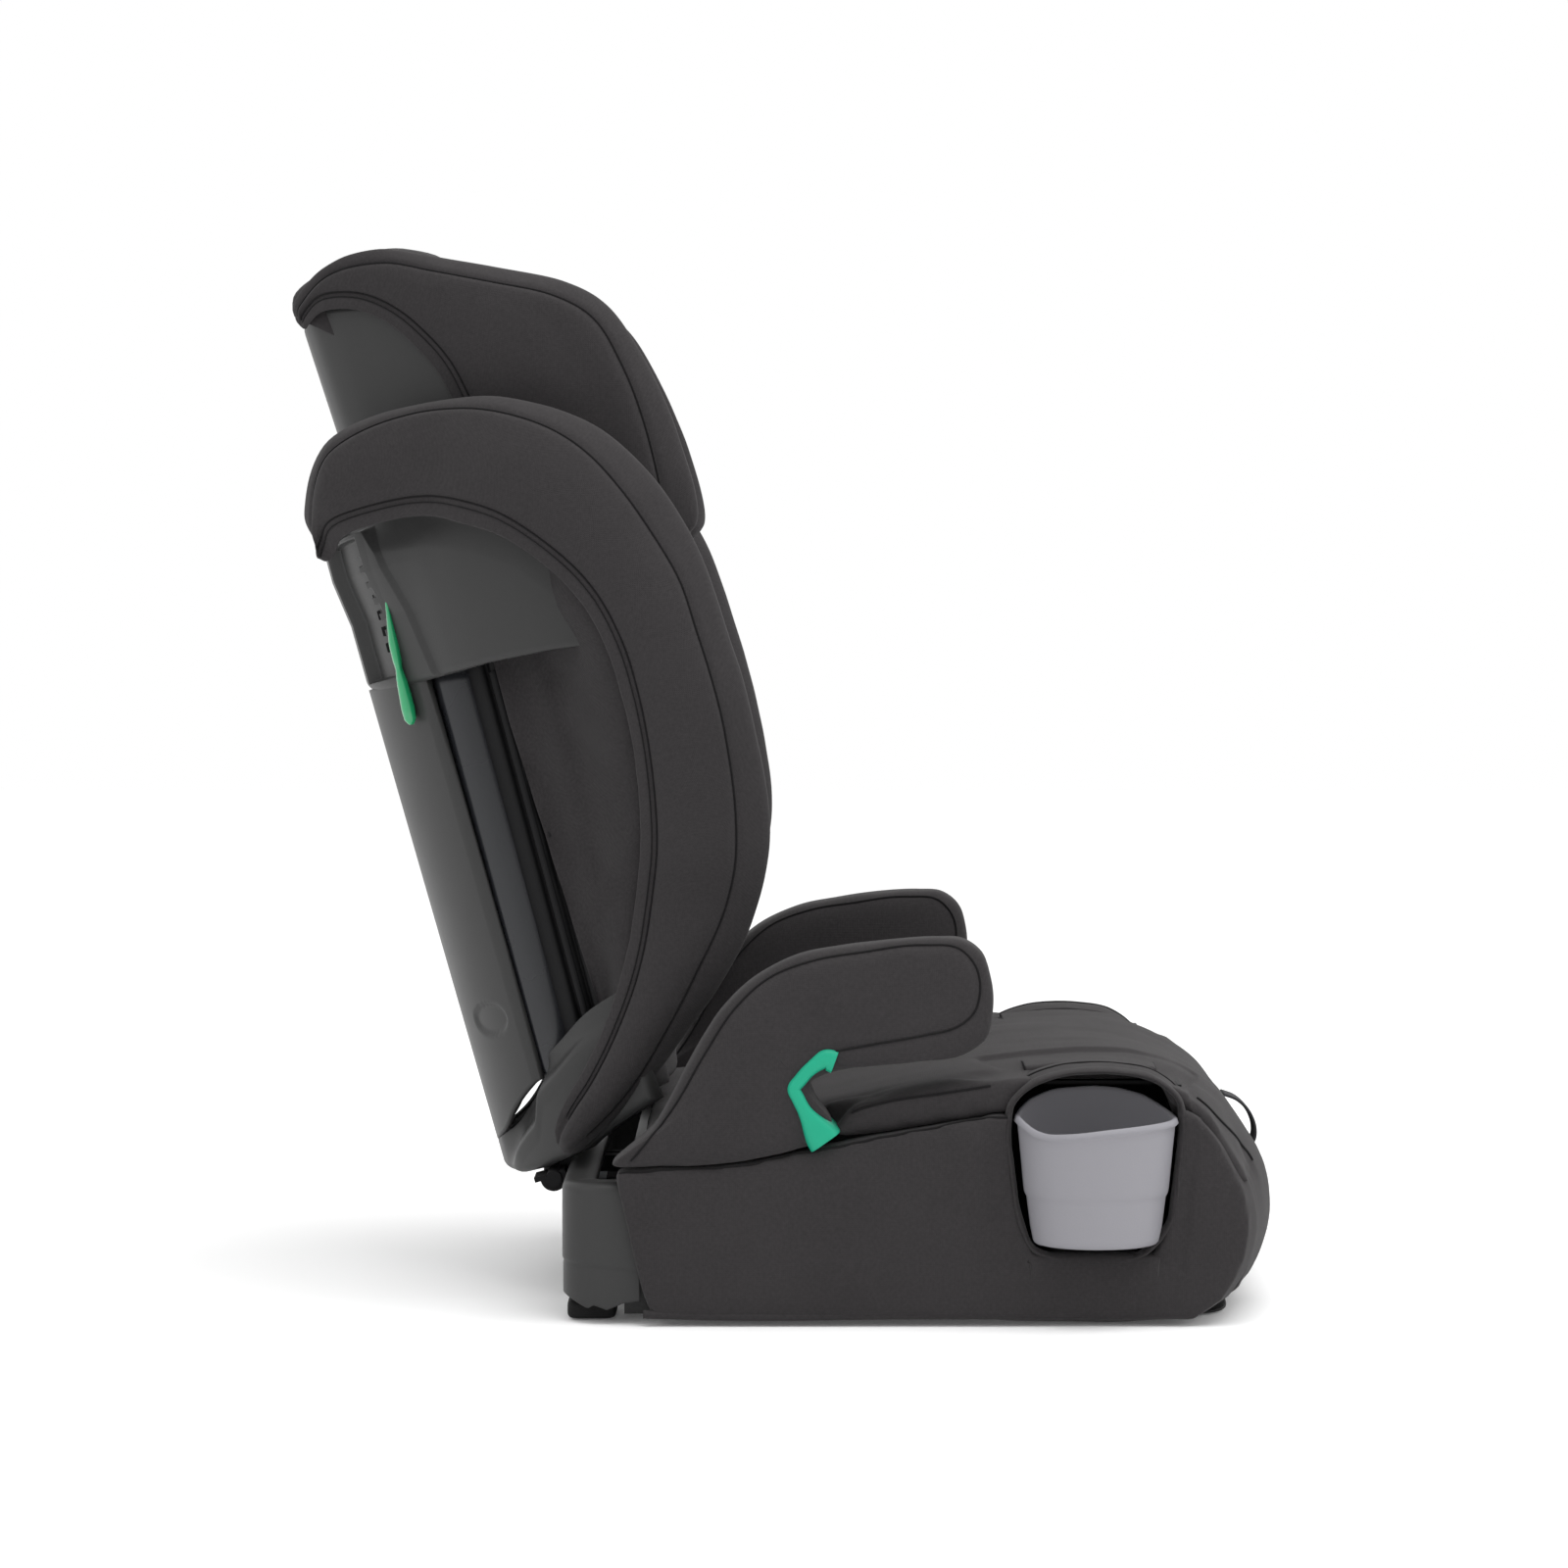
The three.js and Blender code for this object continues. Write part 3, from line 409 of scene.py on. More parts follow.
def buildGrain():
    # spark-eroded mould texture: fine cells for height, slow noise for the shade and the rubbed gloss
    group, given, out = newGroup(
        "mouldGrain",
        [("Place", "NodeSocketVector", None), ("Cell", "NodeSocketFloat", 900.0), ("Amount", "NodeSocketFloat", 0.1)],
        [("Height", "NodeSocketFloat"), ("Shade", "NodeSocketFloat"), ("Gloss", "NodeSocketFloat")],
    )
    cells = addNode(group, "ShaderNodeTexVoronoi")
    group.links.new(given.outputs["Place"], cells.inputs["Vector"])
    group.links.new(given.outputs["Cell"], cells.inputs["Scale"])
    noise = addNode(group, "ShaderNodeTexNoise")
    noise.inputs["Scale"].default_value = 9
    noise.inputs["Detail"].default_value = 5
    group.links.new(given.outputs["Place"], noise.inputs["Vector"])
    group.links.new(cells.outputs["Distance"], out.inputs["Height"])
    swing = mathNode(group, "SUBTRACT", noise.outputs[0], 0.5)
    shade = mathNode(group, "MULTIPLY_ADD", swing, given.outputs["Amount"], 1.0)
    group.links.new(shade, out.inputs["Shade"])
    group.links.new(swing, out.inputs["Gloss"])
    return group


def buildDust():
    # faces that look up gather a little pale dust, broken up by noise
    group, given, out = newGroup(
        "lightDust", [("Place", "NodeSocketVector", None), ("Amount", "NodeSocketFloat", 0.1)], [("Mask", "NodeSocketFloat")]
    )
    shape = addNode(group, "ShaderNodeNewGeometry")
    parts = addNode(group, "ShaderNodeSeparateXYZ")
    group.links.new(shape.outputs["Normal"], parts.inputs[0])
    noise = addNode(group, "ShaderNodeTexNoise")
    noise.inputs["Scale"].default_value = 60
    noise.inputs["Detail"].default_value = 6
    group.links.new(given.outputs["Place"], noise.inputs["Vector"])
    up = mathNode(group, "MAXIMUM", parts.outputs[2], 0.0)
    mask = mathNode(group, "MULTIPLY", mathNode(group, "MULTIPLY", up, noise.outputs[0]), given.outputs["Amount"])
    group.links.new(mask, out.inputs["Mask"])
    return group


weaveGroup = buildWeave()
grainGroup = buildGrain()
dustGroup = buildDust()
print("shader groups built")


def toLinear(colour):
    # screen values from 0 to 255 to linear light
    c = np.array(colour, float) / 255
    return tuple(np.where(c <= 0.04045, c / 12.92, ((c + 0.055) / 1.055) ** 2.4)) + (1.0,)


def startMaterial(name):
    material = bpy.data.materials.new(name)
    material.use_nodes = True
    tree = material.node_tree
    place = addNode(tree, "ShaderNodeTexCoord").outputs["Object"]
    return material, tree, tree.nodes["Principled BSDF"], place


def useGroup(tree, group, place, **values):
    node = addNode(tree, "ShaderNodeGroup", node_tree=group)
    tree.links.new(place, node.inputs["Place"])
    for key, value in values.items():
        node.inputs[key].default_value = value
    return node


def scaleColour(tree, colour, factor):
    # a colour made lighter or darker by a changing factor
    node = addNode(tree, "ShaderNodeVectorMath", operation="SCALE")
    node.inputs[0].default_value = colour[:3]
    tree.links.new(factor, node.inputs["Scale"])
    return node.outputs[0]


def clothFinish(name, colour, thread=0.0011, fleck=0.5, roughness=0.9, bump=0.22, sheen=0.06):
    material, tree, shader, place = startMaterial(name)
    weave = useGroup(tree, weaveGroup, place, Thread=thread, Fleck=fleck)
    dust = useGroup(tree, dustGroup, place, Amount=0.03)
    base = scaleColour(tree, toLinear(colour), weave.outputs["Shade"])
    dusted = mixColours(tree, dust.outputs["Mask"], base, toLinear((150, 147, 144)))
    tree.links.new(dusted, shader.inputs["Base Color"])
    shader.inputs["Roughness"].default_value = roughness
    shader.inputs["Sheen Weight"].default_value = sheen
    shader.inputs["Sheen Roughness"].default_value = 0.5
    shader.inputs["Specular IOR Level"].default_value = 0.12
    relief = addNode(tree, "ShaderNodeBump")
    relief.inputs["Strength"].default_value = bump
    relief.inputs["Distance"].default_value = 0.0006
    tree.links.new(weave.outputs["Height"], relief.inputs["Height"])
    tree.links.new(relief.outputs[0], shader.inputs["Normal"])
    return material


def mouldFinish(name, colour, roughness=0.45, cell=900.0, bump=0.10, amount=0.12, swing=0.15, coat=0.0, gloss=0.22):
    material, tree, shader, place = startMaterial(name)
    grain = useGroup(tree, grainGroup, place, Cell=cell, Amount=amount)
    dust = useGroup(tree, dustGroup, place, Amount=0.02)
    base = scaleColour(tree, toLinear(colour), grain.outputs["Shade"])
    dusted = mixColours(tree, dust.outputs["Mask"], base, toLinear((165, 163, 160)))
    tree.links.new(dusted, shader.inputs["Base Color"])
    tree.links.new(mathNode(tree, "MULTIPLY_ADD", grain.outputs["Gloss"], swing, roughness), shader.inputs["Roughness"])
    shader.inputs["Coat Weight"].default_value = coat
    shader.inputs["Specular IOR Level"].default_value = gloss
    relief = addNode(tree, "ShaderNodeBump")
    relief.inputs["Strength"].default_value = bump
    relief.inputs["Distance"].default_value = 0.0004
    tree.links.new(grain.outputs["Height"], relief.inputs["Height"])
    tree.links.new(relief.outputs[0], shader.inputs["Normal"])
    return material


def steelFinish(name, colour):
    material = mouldFinish(name, colour, roughness=0.3, cell=1600, bump=0.06, swing=0.35, gloss=0.5)
    material.node_tree.nodes["Principled BSDF"].inputs["Metallic"].default_value = 1.0
    return material


charcoalCloth = clothFinish("charcoalCloth", (48, 46, 47))
backCloth = clothFinish("backCloth", (43, 41, 42), fleck=0.7, bump=0.3)
# the stitched lines are real; their near-black colour is painted shade of the seam grooves they sit in
seamThreadAndShade = clothFinish("seamThreadAndShade", (22, 21, 22), thread=0.0006, sheen=0.05)
loopWebbing = clothFinish("loopWebbing", (50, 50, 52), thread=0.0016, bump=0.5, roughness=0.75)
shellMould = mouldFinish("shellMould", (50, 50, 50), roughness=0.42)
railMould = mouldFinish("railMould", (33, 34, 37), roughness=0.28, bump=0.04, gloss=0.4)
blackMould = mouldFinish("blackMould", (22, 22, 23), roughness=0.55, gloss=0.12)
tealMould = mouldFinish("tealMould", (24, 150, 118), roughness=0.42, bump=0.05)
leverMould = mouldFinish("leverMould", (26, 145, 92), roughness=0.2, bump=0.02, coat=0.5, gloss=0.5)
cupMould = mouldFinish("cupMould", (134, 133, 138), roughness=0.5, bump=0.08, amount=0.06)
zincSteel = steelFinish("zincSteel", (170, 172, 175))
footRubber = mouldFinish("footRubber", (22, 22, 22), roughness=0.8, cell=500, bump=0.3)
print("materials built")


def paint(piece, material):
    piece.data.materials.clear()
    piece.data.materials.append(material)
    return piece


carriedOver = {
    "shell_plastic": shellMould, "black_plastic": blackMould, "steel": zincSteel, "teal_guide": tealMould,
    "release_green": leverMould, "cup_grey": cupMould, "rubber_foot": footRubber, "charcoal_fabric": charcoalCloth,
    "webbing": loopWebbing,
}
for node in frame["nodes"].values():
    for index, material in enumerate(node.data.materials):
        node.data.materials[index] = carriedOver.get(material.name.split(".")[0], blackMould)
for name in ("hinge_pin",):
    paint(frame["nodes"][name], blackMould)
print("frame repainted")

# ---- padded pieces made from their solids
def stuffed(name, node, voxel=0.0035, rounds=6, pressure=4.0, cap=3.0, seed=1):
    # the solid's own shape, meshed evenly, rounded by averaging neighbours, blown up as cloth within a small cap
    source = frame["nodes"][node]
    mesh = source.data.copy()
    work = bmesh.new()
    work.from_mesh(mesh)
    bmesh.ops.remove_doubles(work, verts=work.verts, dist=1e-5)
    work.to_mesh(mesh)
    work.free()
    piece = bpy.data.objects.new(name, mesh)
    bpy.context.scene.collection.objects.link(piece)
    even = piece.modifiers.new("even", "REMESH")
    even.mode = "VOXEL"
    even.voxel_size = voxel
    settle(piece)
    relax(piece, rounds)
    inflate(piece, pressure, cap)
    fine = piece.modifiers.new("fine", "SUBSURF")
    fine.levels = 1
    fine.render_levels = 1
    settle(piece)
    puff = piece.data
    puff.polygons.foreach_set("use_smooth", np.ones(len(puff.polygons), bool))
    points = readPoints(puff)
    points += readNormals(puff) * (softNoise(points, 0.11, seed) * 0.0009)[:, None]
    writePoints(puff, points)
    return piece


def settle(piece):
    # the modifiers' result becomes the mesh
    graph = bpy.context.evaluated_depsgraph_get()
    graph.update()
    mesh = bpy.data.meshes.new_from_object(piece.evaluated_get(graph))
    piece.modifiers.clear()
    old = piece.data
    piece.data = mesh
    bpy.data.meshes.remove(old)
    mesh.name = piece.name


def relax(piece, rounds):
    # each point moves towards its neighbours' mean, then most of the way back, so the form keeps its size
    mesh = piece.data
    edges = np.zeros(len(mesh.edges) * 2, int)
    mesh.edges.foreach_get("vertices", edges)
    a, b = edges.reshape(-1, 2).T
    points = readPoints(mesh)
    count = np.bincount(np.r_[a, b], minlength=len(points))[:, None]
    for step in range(rounds * 2):
        total = np.zeros_like(points)
        np.add.at(total, a, points[b])
        np.add.at(total, b, points[a])
        shift = (total / count - points) * (0.62 if step % 2 == 0 else -0.40)
        points = points + shift
    writePoints(mesh, points)


def inflate(piece, pressure, cap):
    before = readPoints(piece.data)
    cloth = piece.modifiers.new("stuffing", "CLOTH")
    cloth.settings.quality = 5
    cloth.settings.mass = 0.3
    cloth.settings.use_pressure = True
    cloth.settings.uniform_pressure_force = pressure
    cloth.settings.tension_stiffness = 25
    cloth.settings.compression_stiffness = 25
    cloth.settings.effector_weights.gravity = 0
    cloth.collision_settings.use_collision = False
    scene = bpy.context.scene
    for step in range(1, 21):
        scene.frame_set(step)
    graph = bpy.context.evaluated_depsgraph_get()
    swollen = piece.evaluated_get(graph).to_mesh()
    after = readPoints(swollen)
    piece.evaluated_get(graph).to_mesh_clear()
    piece.modifiers.clear()
    scene.frame_set(1)
    lost = int(np.isnan(after).any(1).sum())
    print("stuffing", piece.name, "largest move", float(np.nanmax(np.abs(after - before))), "lost", lost)
    move = after - before
    length = np.linalg.norm(move, axis=1, keepdims=True) + 1e-12
    limit = cap * mm
    move *= limit * np.tanh(length / limit) / length
    # the cup pocket's walls keep their room, so the cup can slide
    x, y, z = before.T / mm
    x = np.abs(x)
    pocket = (x > 100) & (y > -168) & (y < -30) & (z > 30) & (z < 165)
    move[pocket] = 0
    writePoints(piece.data, before + move)


recessLeft = [(30, -60), (43, -59), (47.4, -56.5), (62, -52), (91, -47.5), (121, -45.6), (131, -48),
              (140, -53), (148, -61), (154, -74), (160, -84)]
recessRight = [(30, -138), (43, -139), (47, -141), (68, -146.5), (109, -151), (125, -152), (135, -147),
               (145, -140), (154, -128), (160, -118)]


def shapeRecess(piece, slideBand=False):
    # the square cup opening becomes rounded: points near its sides slide along y, and near its floor rise;
    # slideBand also carries the end of the pad's side band forward under the belt guide
    points = readPoints(piece.data) / mm
    y, z = points[:, 1], points[:, 2]
    outside = easeStep(120, 165, np.abs(points[:, 0]))
    for table, edge, reach in ((recessLeft, -45.6, 1), (recessRight, -152.4, -1)):
        t = np.array(table, float)
        goal = np.interp(z, t[:, 0], t[:, 1])
        away = (y - edge) * reach
        fall = np.where(away > -12, 1 - easeStep(0, 34, away), 0) * outside * easeStep(20, 40, z)
        y = y + (goal - edge) * fall
    if slideBand:
        y = y + 14 * easeStep(30, 52, y) * (y < 56) * (np.abs(points[:, 0]) > 172) * (z < 135) * (z > 92)
    inside = (y > -170) & (y < -30)
    lift = 7 * np.clip(1 - np.abs(z - 36) / 30, 0, 1) * inside * outside * (1 - easeStep(38, 70, np.abs(y + 99)))
    points[:, 1] = y
    points[:, 2] = z + lift * (points[:, 2] < 60)
    writePoints(piece.data, points * mm)


def bowFront(piece, amount, start, end):
    # the front corners fall back from the middle, and the front face falls back towards its foot
    points = readPoints(piece.data) / mm
    forward = easeStep(120, 214, -points[:, 1])
    share = easeStep(start, end, np.abs(points[:, 0])) * forward
    underCut = np.interp(points[:, 2], [0, 20, 56, 91, 127, 150], [23, 18, 12, 9, 4, 0])
    points[:, 1] += amount * share + underCut * forward
    writePoints(piece.data, points * mm)


def makeBaseShell():
    # the carried-over shell, its front drawn back behind the cloth
    source = frame["nodes"]["base_shell"]
    piece = bpy.data.objects.new("baseShell", source.data.copy())
    bpy.context.scene.collection.objects.link(piece)
    points = readPoints(piece.data) / mm
    drawn = np.interp(points[:, 2], [0, 60, 120], [34, 22, 12])
    points[:, 1] += drawn * easeStep(158, 205, -points[:, 1])
    writePoints(piece.data, points * mm)
    ridden(piece, "base", "shell_plastic", "base_shell")


def pads(piece, body, slotName, fill, *nodes):
    ridden(piece, body, slotName, *nodes)
    return piece


sideSeam = curveThrough([
    (193.7, 93.3), (160, 96), (117.8, 98), (66.7, 109.1), (33.1, 116.2), (4.9, 122), (-23.3, 125.6),
    (-45.7, 128.5),
], 90)
frontSeam = curveThrough([(-147, 132.7), (-158, 130.9), (-171.5, 122.7), (-185.6, 109.1),
                          (-200.9, 89.7)], 40)
crestSeam = curveThrough([
    (60, 129), (42.5, 134.4), (23.6, 139.2), (-5.2, 143.3), (-34.7, 148), (-64, 152), (-93.6, 154.5),
    (-123, 154),
    (-142.5, 148.6), (-162.5, 138), (-182, 120.3), (-199.6, 97.9),
], 120)

seatPad = paint(stuffed("seatPad", "seat_pad", rounds=3, cap=3.0, seed=3), charcoalCloth)
shapeRecess(seatPad, slideBand=True)
bowFront(seatPad, 14, 105, 190)
pads(seatPad, "base", "charcoal_fabric", 0.7, "seat_pad")
makeBaseShell()
print("seat pad made", len(seatPad.data.vertices))
for hand, side in sides.items():
    panel = paint(stuffed(f"sidePanel.{hand}", f"side_panel_{hand}", rounds=2, cap=1.6, seed=5), charcoalCloth)
    shapeRecess(panel)
    bowFront(panel, 7, 186, 211)
    pads(panel, "base", "charcoal_fabric", 0.5, f"side_panel_{hand}")
    print("side panel made", hand, len(panel.data.vertices))

# ---- the back's padded wings
wingPlan = {"rows": 170, "half": 20, "bandWidth": 11, "endReach": 9}
wingEdge = [(44, -4), (98, 29), (138, 60), (166, 84), (197, 120), (220, 169), (227.5, 235), (226, 300),
            (219, 361),
            (192, 420), (141, 460), (81, 474), (20, 468), (-8, 431), (-6, 408)]
wingHem = [(41, 20), (72, 46), (99, 77), (121, 109), (139, 148), (153, 187), (163, 245), (164, 300),
           (152, 345),
           (122, 387), (95, 408), (62, 420), (11, 420.5), (-3, 409), (-7.5, 397)]
wingSeam = [(46, 2), (93, 33), (129, 67), (154, 95), (182, 130), (200, 171), (210, 235), (209.5, 298),
            (204, 345),
            (177, 413), (136, 452), (79, 470), (19, 461), (-5, 424), (-6, 405)]
wingBand = [(37, 24), (68, 52), (93, 82), (113, 113), (130, 151), (144, 190), (154, 245), (154, 300),
            (142, 341),
            (114, 379), (88, 397), (60, 408.5), (17, 409.5), (4, 400), (-4, 394)]
wingAcross = [122, 134, 142, 146, 150, 168, 189, 196, 195, 188, 176, 152, 128, 110, 104]


def makeWing(hand, side):
    # closed sections between the outer edge and the hem; the middle of the thickness wanders out to the shoulder
    rows, half = wingPlan["rows"], wingPlan["half"]
    edge, hem, seam, band = (alongIndex(p, rows) for p in (wingEdge, wingHem, wingSeam, wingBand))
    middle = alongIndex(wingAcross, rows)

    def rail(start, end, share, offset):
        p = start + (end - start) * share
        return fromBack(p[:, 0], p[:, 1], side * (middle + offset))

    rails = [
        rail(band, band, 0, 9), rail(hem, hem, 0, 13.5), rail(hem, seam, 0.35, 19.5), rail(hem, seam, 0.72, half),
        rail(seam, seam, 0, 15.5), rail(edge, edge, 0, 1), rail(hem, edge, 0.86, -12), rail(hem, edge, 0.5, -half),
        rail(hem, edge, 0.15, -16), rail(band, hem, 0.4, 2),
    ]
    perSpan = [8, 16, 14, 14, 12, 12, 12, 12, 8, 6]
    soft = [0.5, 0.8, 1, 1, 0.9, 1, 1, 1, 0.8, 0.6]
    grid = railLoft(rails, perSpan, soft)
    # the cloth dips at its sewn lines, and puckers a little beside them
    normal = gridNormals(grid)
    starts = np.r_[0, np.cumsum(perSpan)]
    step = np.linalg.norm(np.diff(grid, axis=1, append=grid[:, :1]), axis=2)
    reach = np.cumsum(step, axis=1) - step
    along = np.r_[0, np.cumsum(np.linalg.norm(np.diff(hem, axis=0), axis=1))][:, None]
    for index, depth in ((1, 1.7), (4, 1.3)):
        away = np.abs(reach - reach[:, starts[index]][:, None])
        pucker = 0.35 * np.sin(along / 3.1 + 2 * np.sin(along / 17)) * np.exp(-away / 7) * easeStep(1, 4, away)
        grid = grid - normal * (depth * np.exp(-((away / 2.2) ** 2)) + pucker)[..., None]
    grid = grid + normal * (softNoise(grid, 120, 11 + side) * 0.9)[..., None]
    grid = roundEnds(grid, wingPlan["endReach"], 0.3)
    wing = gridPiece(f"wingRoll.{hand}", grid, closeV=True, capEnds=True)
    paint(wing, charcoalCloth)
    pads(wing, "back", "charcoal_fabric", 0.65, f"wing_roll_{hand}")
    # fine double line at the hem and single line at the front seam
    lines = (("hemOuter", starts[1], 0.65), ("hemInner", starts[1] - 2, 0.5), ("front", starts[4], 0.75))
    for label, column, radius in lines:
        path = grid[3:-3, column] + normal[3:-3, column] * 0.15
        path = (path + np.roll(path, 1, 0) + np.roll(path, -1, 0))[1:-1] / 3
        line = gridPiece(f"wingSeam.{label}.{hand}", tubeAlong(path, radius, 8), closeV=True, capEnds=True)
        ridden(paint(line, seamThreadAndShade), "back", "charcoal_fabric")
    return wing


webPlan = {"rows": 110, "low": 56, "high": 392, "thickness": 7}


def makeWeb(hand, side):
    # the cover's side between the back cushion and the wing: a thin padded sheet that curls outward, creased by its tension
    rows = webPlan["rows"]
    w = np.linspace(webPlan["low"], webPlan["high"], rows)
    hemCurve = curveThrough(wingBand, 400)
    front = hemCurve[: 260]
    hemV = np.interp(w, front[:, 1][front[:, 0] > 40], front[:, 0][front[:, 0] > 40]) + 5
    start = np.interp(w, [56, 79, 270, 392], [90, 88, 80, 80])
    share = np.r_[0, 0.02, 0.05, 0.1, np.linspace(0.16, 1, 22)]
    v = start[:, None] + (np.maximum(hemV, start + 14) - start)[:, None] * share
    planV = np.array([78, 86, 94, 106, 130, 168, 200])
    planX = np.array([110, 112.5, 115, 132, 147, 159, 164])
    x = np.interp(v, planV, planX)
    x = (x + np.interp(v - 5, planV, planX) + np.interp(v + 5, planV, planX)) / 3
    # the web's outer edge reaches in under the wing's hem
    hemW = [20, 46, 77, 109, 148, 187, 245, 300, 345, 387]
    hemX = np.interp(w, hemW, [122, 134, 142, 146, 150, 168, 189, 196, 195, 188])
    x = x + (hemX[:, None] + 3 - x) * easeStep(0.4, 1, share)
    wave = np.sin(w / 8.5 + 1.4 * np.sin(w / 31))[:, None] * np.exp(-((share - 0.06) / 0.12) ** 2) * 2.4
    crease = softNoise(fromBack(v, w[:, None], 0), 62, 23 + side, 3) * 4.6 * np.sin(np.pi * np.clip(share, 0.02, 0.98)) ** 0.7
    out = fromBack(v, w[:, None], side * (x + crease + wave))
    inner = fromBack(v, w[:, None], side * (x - webPlan["thickness"] + 0.5 * crease))
    grid = np.concatenate([out, inner[:, ::-1]], axis=1)
    web = gridPiece(f"wingInner.{hand}", grid, closeV=True, capEnds=True)
    paint(web, backCloth)
    return pads(web, "back", "charcoal_fabric", 0.3, f"wing_web_{hand}")


for hand, side in sides.items():
    makeWing(hand, side)
    makeWeb(hand, side)
print("wings made")


# ---- the back's middle cushion
def makeBackPad():
    # sections across the back: a crowned middle between two sewn lines, and softer sides that turn out to the wings
    w = np.linspace(26, 397, 120)
    row = np.ones_like(w)
    lumbar = 5 * np.exp(-(((w - 120) / 60) ** 2))
    rails = []
    for x, v in ((-113, 92), (-113, 104), (-96, 115), (-64, 115), (-32, 119), (0, 120.5), (32, 119),
                 (64, 115), (96, 115),
                 (113, 104), (113, 92), (60, 90.5), (0, 90), (-60, 90.5)):
        rails.append(fromBack((v + (lumbar if v > 105 else 0)) * row, w, x * row))
    perSpan = [6, 8, 12, 10, 10, 10, 10, 12, 8, 6, 6, 5, 5, 6]
    grid = railLoft(rails, perSpan, [0.6, 1, 1, 0.5, 1, 1, 1, 0.5, 1, 1, 0.6, 1, 1, 1])
    normal = gridNormals(grid)
    across = grid[..., 0]
    frontFace = normal @ backForward > 0.3
    dip = sum(np.exp(-(((across - line) / 2.6) ** 2)) for line in (-64, 64)) * 2.4
    dip = dip + np.exp(-(((w[:, None] - 205) / 2.6) ** 2)) * 2.2 * (np.abs(across) < 66)
    grid = grid - normal * (dip * frontFace)[..., None]
    grid = grid + normal * (softNoise(grid, 90, 31) * 0.8)[..., None]
    grid = roundEnds(grid, 5, 0.75)
    pad = gridPiece("backCushion", grid, closeV=True, capEnds=True)
    return pads(paint(pad, charcoalCloth), "back", "charcoal_fabric", 0.7, "back_pad")


makeBackPad()


# ---- padded forms over an outline
def pillow(outline, centre, half, middle, side, power, layers, count):
    # rings from the middle out to a side view outline; thickness follows a flattened circle, so the rim is round
    rim = curveThrough(outline, count, closed=True)
    turn = np.linspace(0, np.pi, layers)
    wide = np.abs(np.sin(turn)) ** power
    deep = np.sign(np.cos(turn)) * np.abs(np.cos(turn)) ** power
    wide[0] = wide[-1] = 0.0
    wide = np.where((turn > 0) & (turn < np.pi), np.maximum(wide, 0.03), 0.03)
    flat = np.array(centre) + wide[:, None, None] * (rim - np.array(centre))
    x = np.broadcast_to(side * (middle + deep[:, None] * half), flat.shape[:2])
    grid = np.stack([x, flat[..., 0], flat[..., 1]], -1)
    return grid


armPlan = {"middle": 195, "half": 21, "power": 0.36}
armOutline = [(192.5, 98), (180, 109), (168.4, 119), (157, 138), (145.4, 160), (127.2, 190),
              (108.4, 208.5), (80.2, 223.2),
              (52, 229), (23.7, 232.6), (-4.5, 234.4), (-19.2, 233.2), (-30.4, 225), (-35.6, 210.3),
              (-36.8, 191.5),
              (-33, 174), (-21, 164.6), (4.9, 160), (33.1, 157.4), (52, 155.5), (67, 151), (73, 147),
              (70, 138), (60, 122),
              (62, 113), (80, 107), (117.8, 99), (160, 96.5)]


def makeArmrest(hand, side):
    grid = pillow(armOutline, (95, 165), armPlan["half"], armPlan["middle"], side, armPlan["power"], 34, 240)
    arm = gridPiece(f"armrest.{hand}", grid, closeV=True, capEnds=True)
    points = readPoints(arm.data) / mm
    points += readNormals(arm.data) * (softNoise(points, 95, 41 + side) * 0.8)[:, None]
    writePoints(arm.data, points * mm)
    pads(paint(arm, charcoalCloth), "base", "charcoal_fabric", 0.75, f"armrest_{hand}")
    return arm


armSeam = curveThrough([(181, 100), (154.8, 133.5), (136.6, 165), (117.8, 193.3), (99, 210.3),
                        (70.8, 221.5), (42.6, 226.2),
                        (4.9, 230.5), (-17, 228), (-26.5, 217), (-28.8, 203), (-24.6, 189), (-16, 182),
                        (5, 176.5),
                        (33, 171.5), (58, 167)], 160)
for hand, side in sides.items():
    arm = makeArmrest(hand, side)
    pressSeams(arm, [armSeam], side, 1.1, 2.6)
    for face, where in (("outer", side), ("inner", -side)):
        line = seamOn(f"armSeam.{face}.{hand}", armSeam, arm, where, 0.8)
        if line:
            ridden(paint(line, seamThreadAndShade), "base", "charcoal_fabric")
print("armrests made")

# ---- headrest
headPlan = {"rows": 150, "hemWidth": 10, "endReach": 8}
headEdge = [(13.5, 550), (18, 560), (43, 573), (78, 574), (114, 559), (148, 543), (185, 524),
            (207, 502), (219, 468),
            (226, 430), (228.5, 393), (227, 368), (221, 354)]
headBand = [(19.5, 538), (24, 542.5), (36, 547), (55, 542), (71, 530), (84, 513), (95, 491), (101, 462),
            (104, 430),
            (115, 402), (140, 382), (170, 364), (200, 352)]
headSeam = [(15, 546), (20, 556), (45, 568), (80, 565), (110, 551), (141, 536), (176, 518), (197, 497),
            (206, 466),
            (210, 430), (209.5, 393), (206, 368), (209, 354)]
headAcross = [(10, 79), (18, 92), (36, 107), (57, 120), (85, 133), (110, 142), (141, 149), (190, 156),
              (232, 159)]


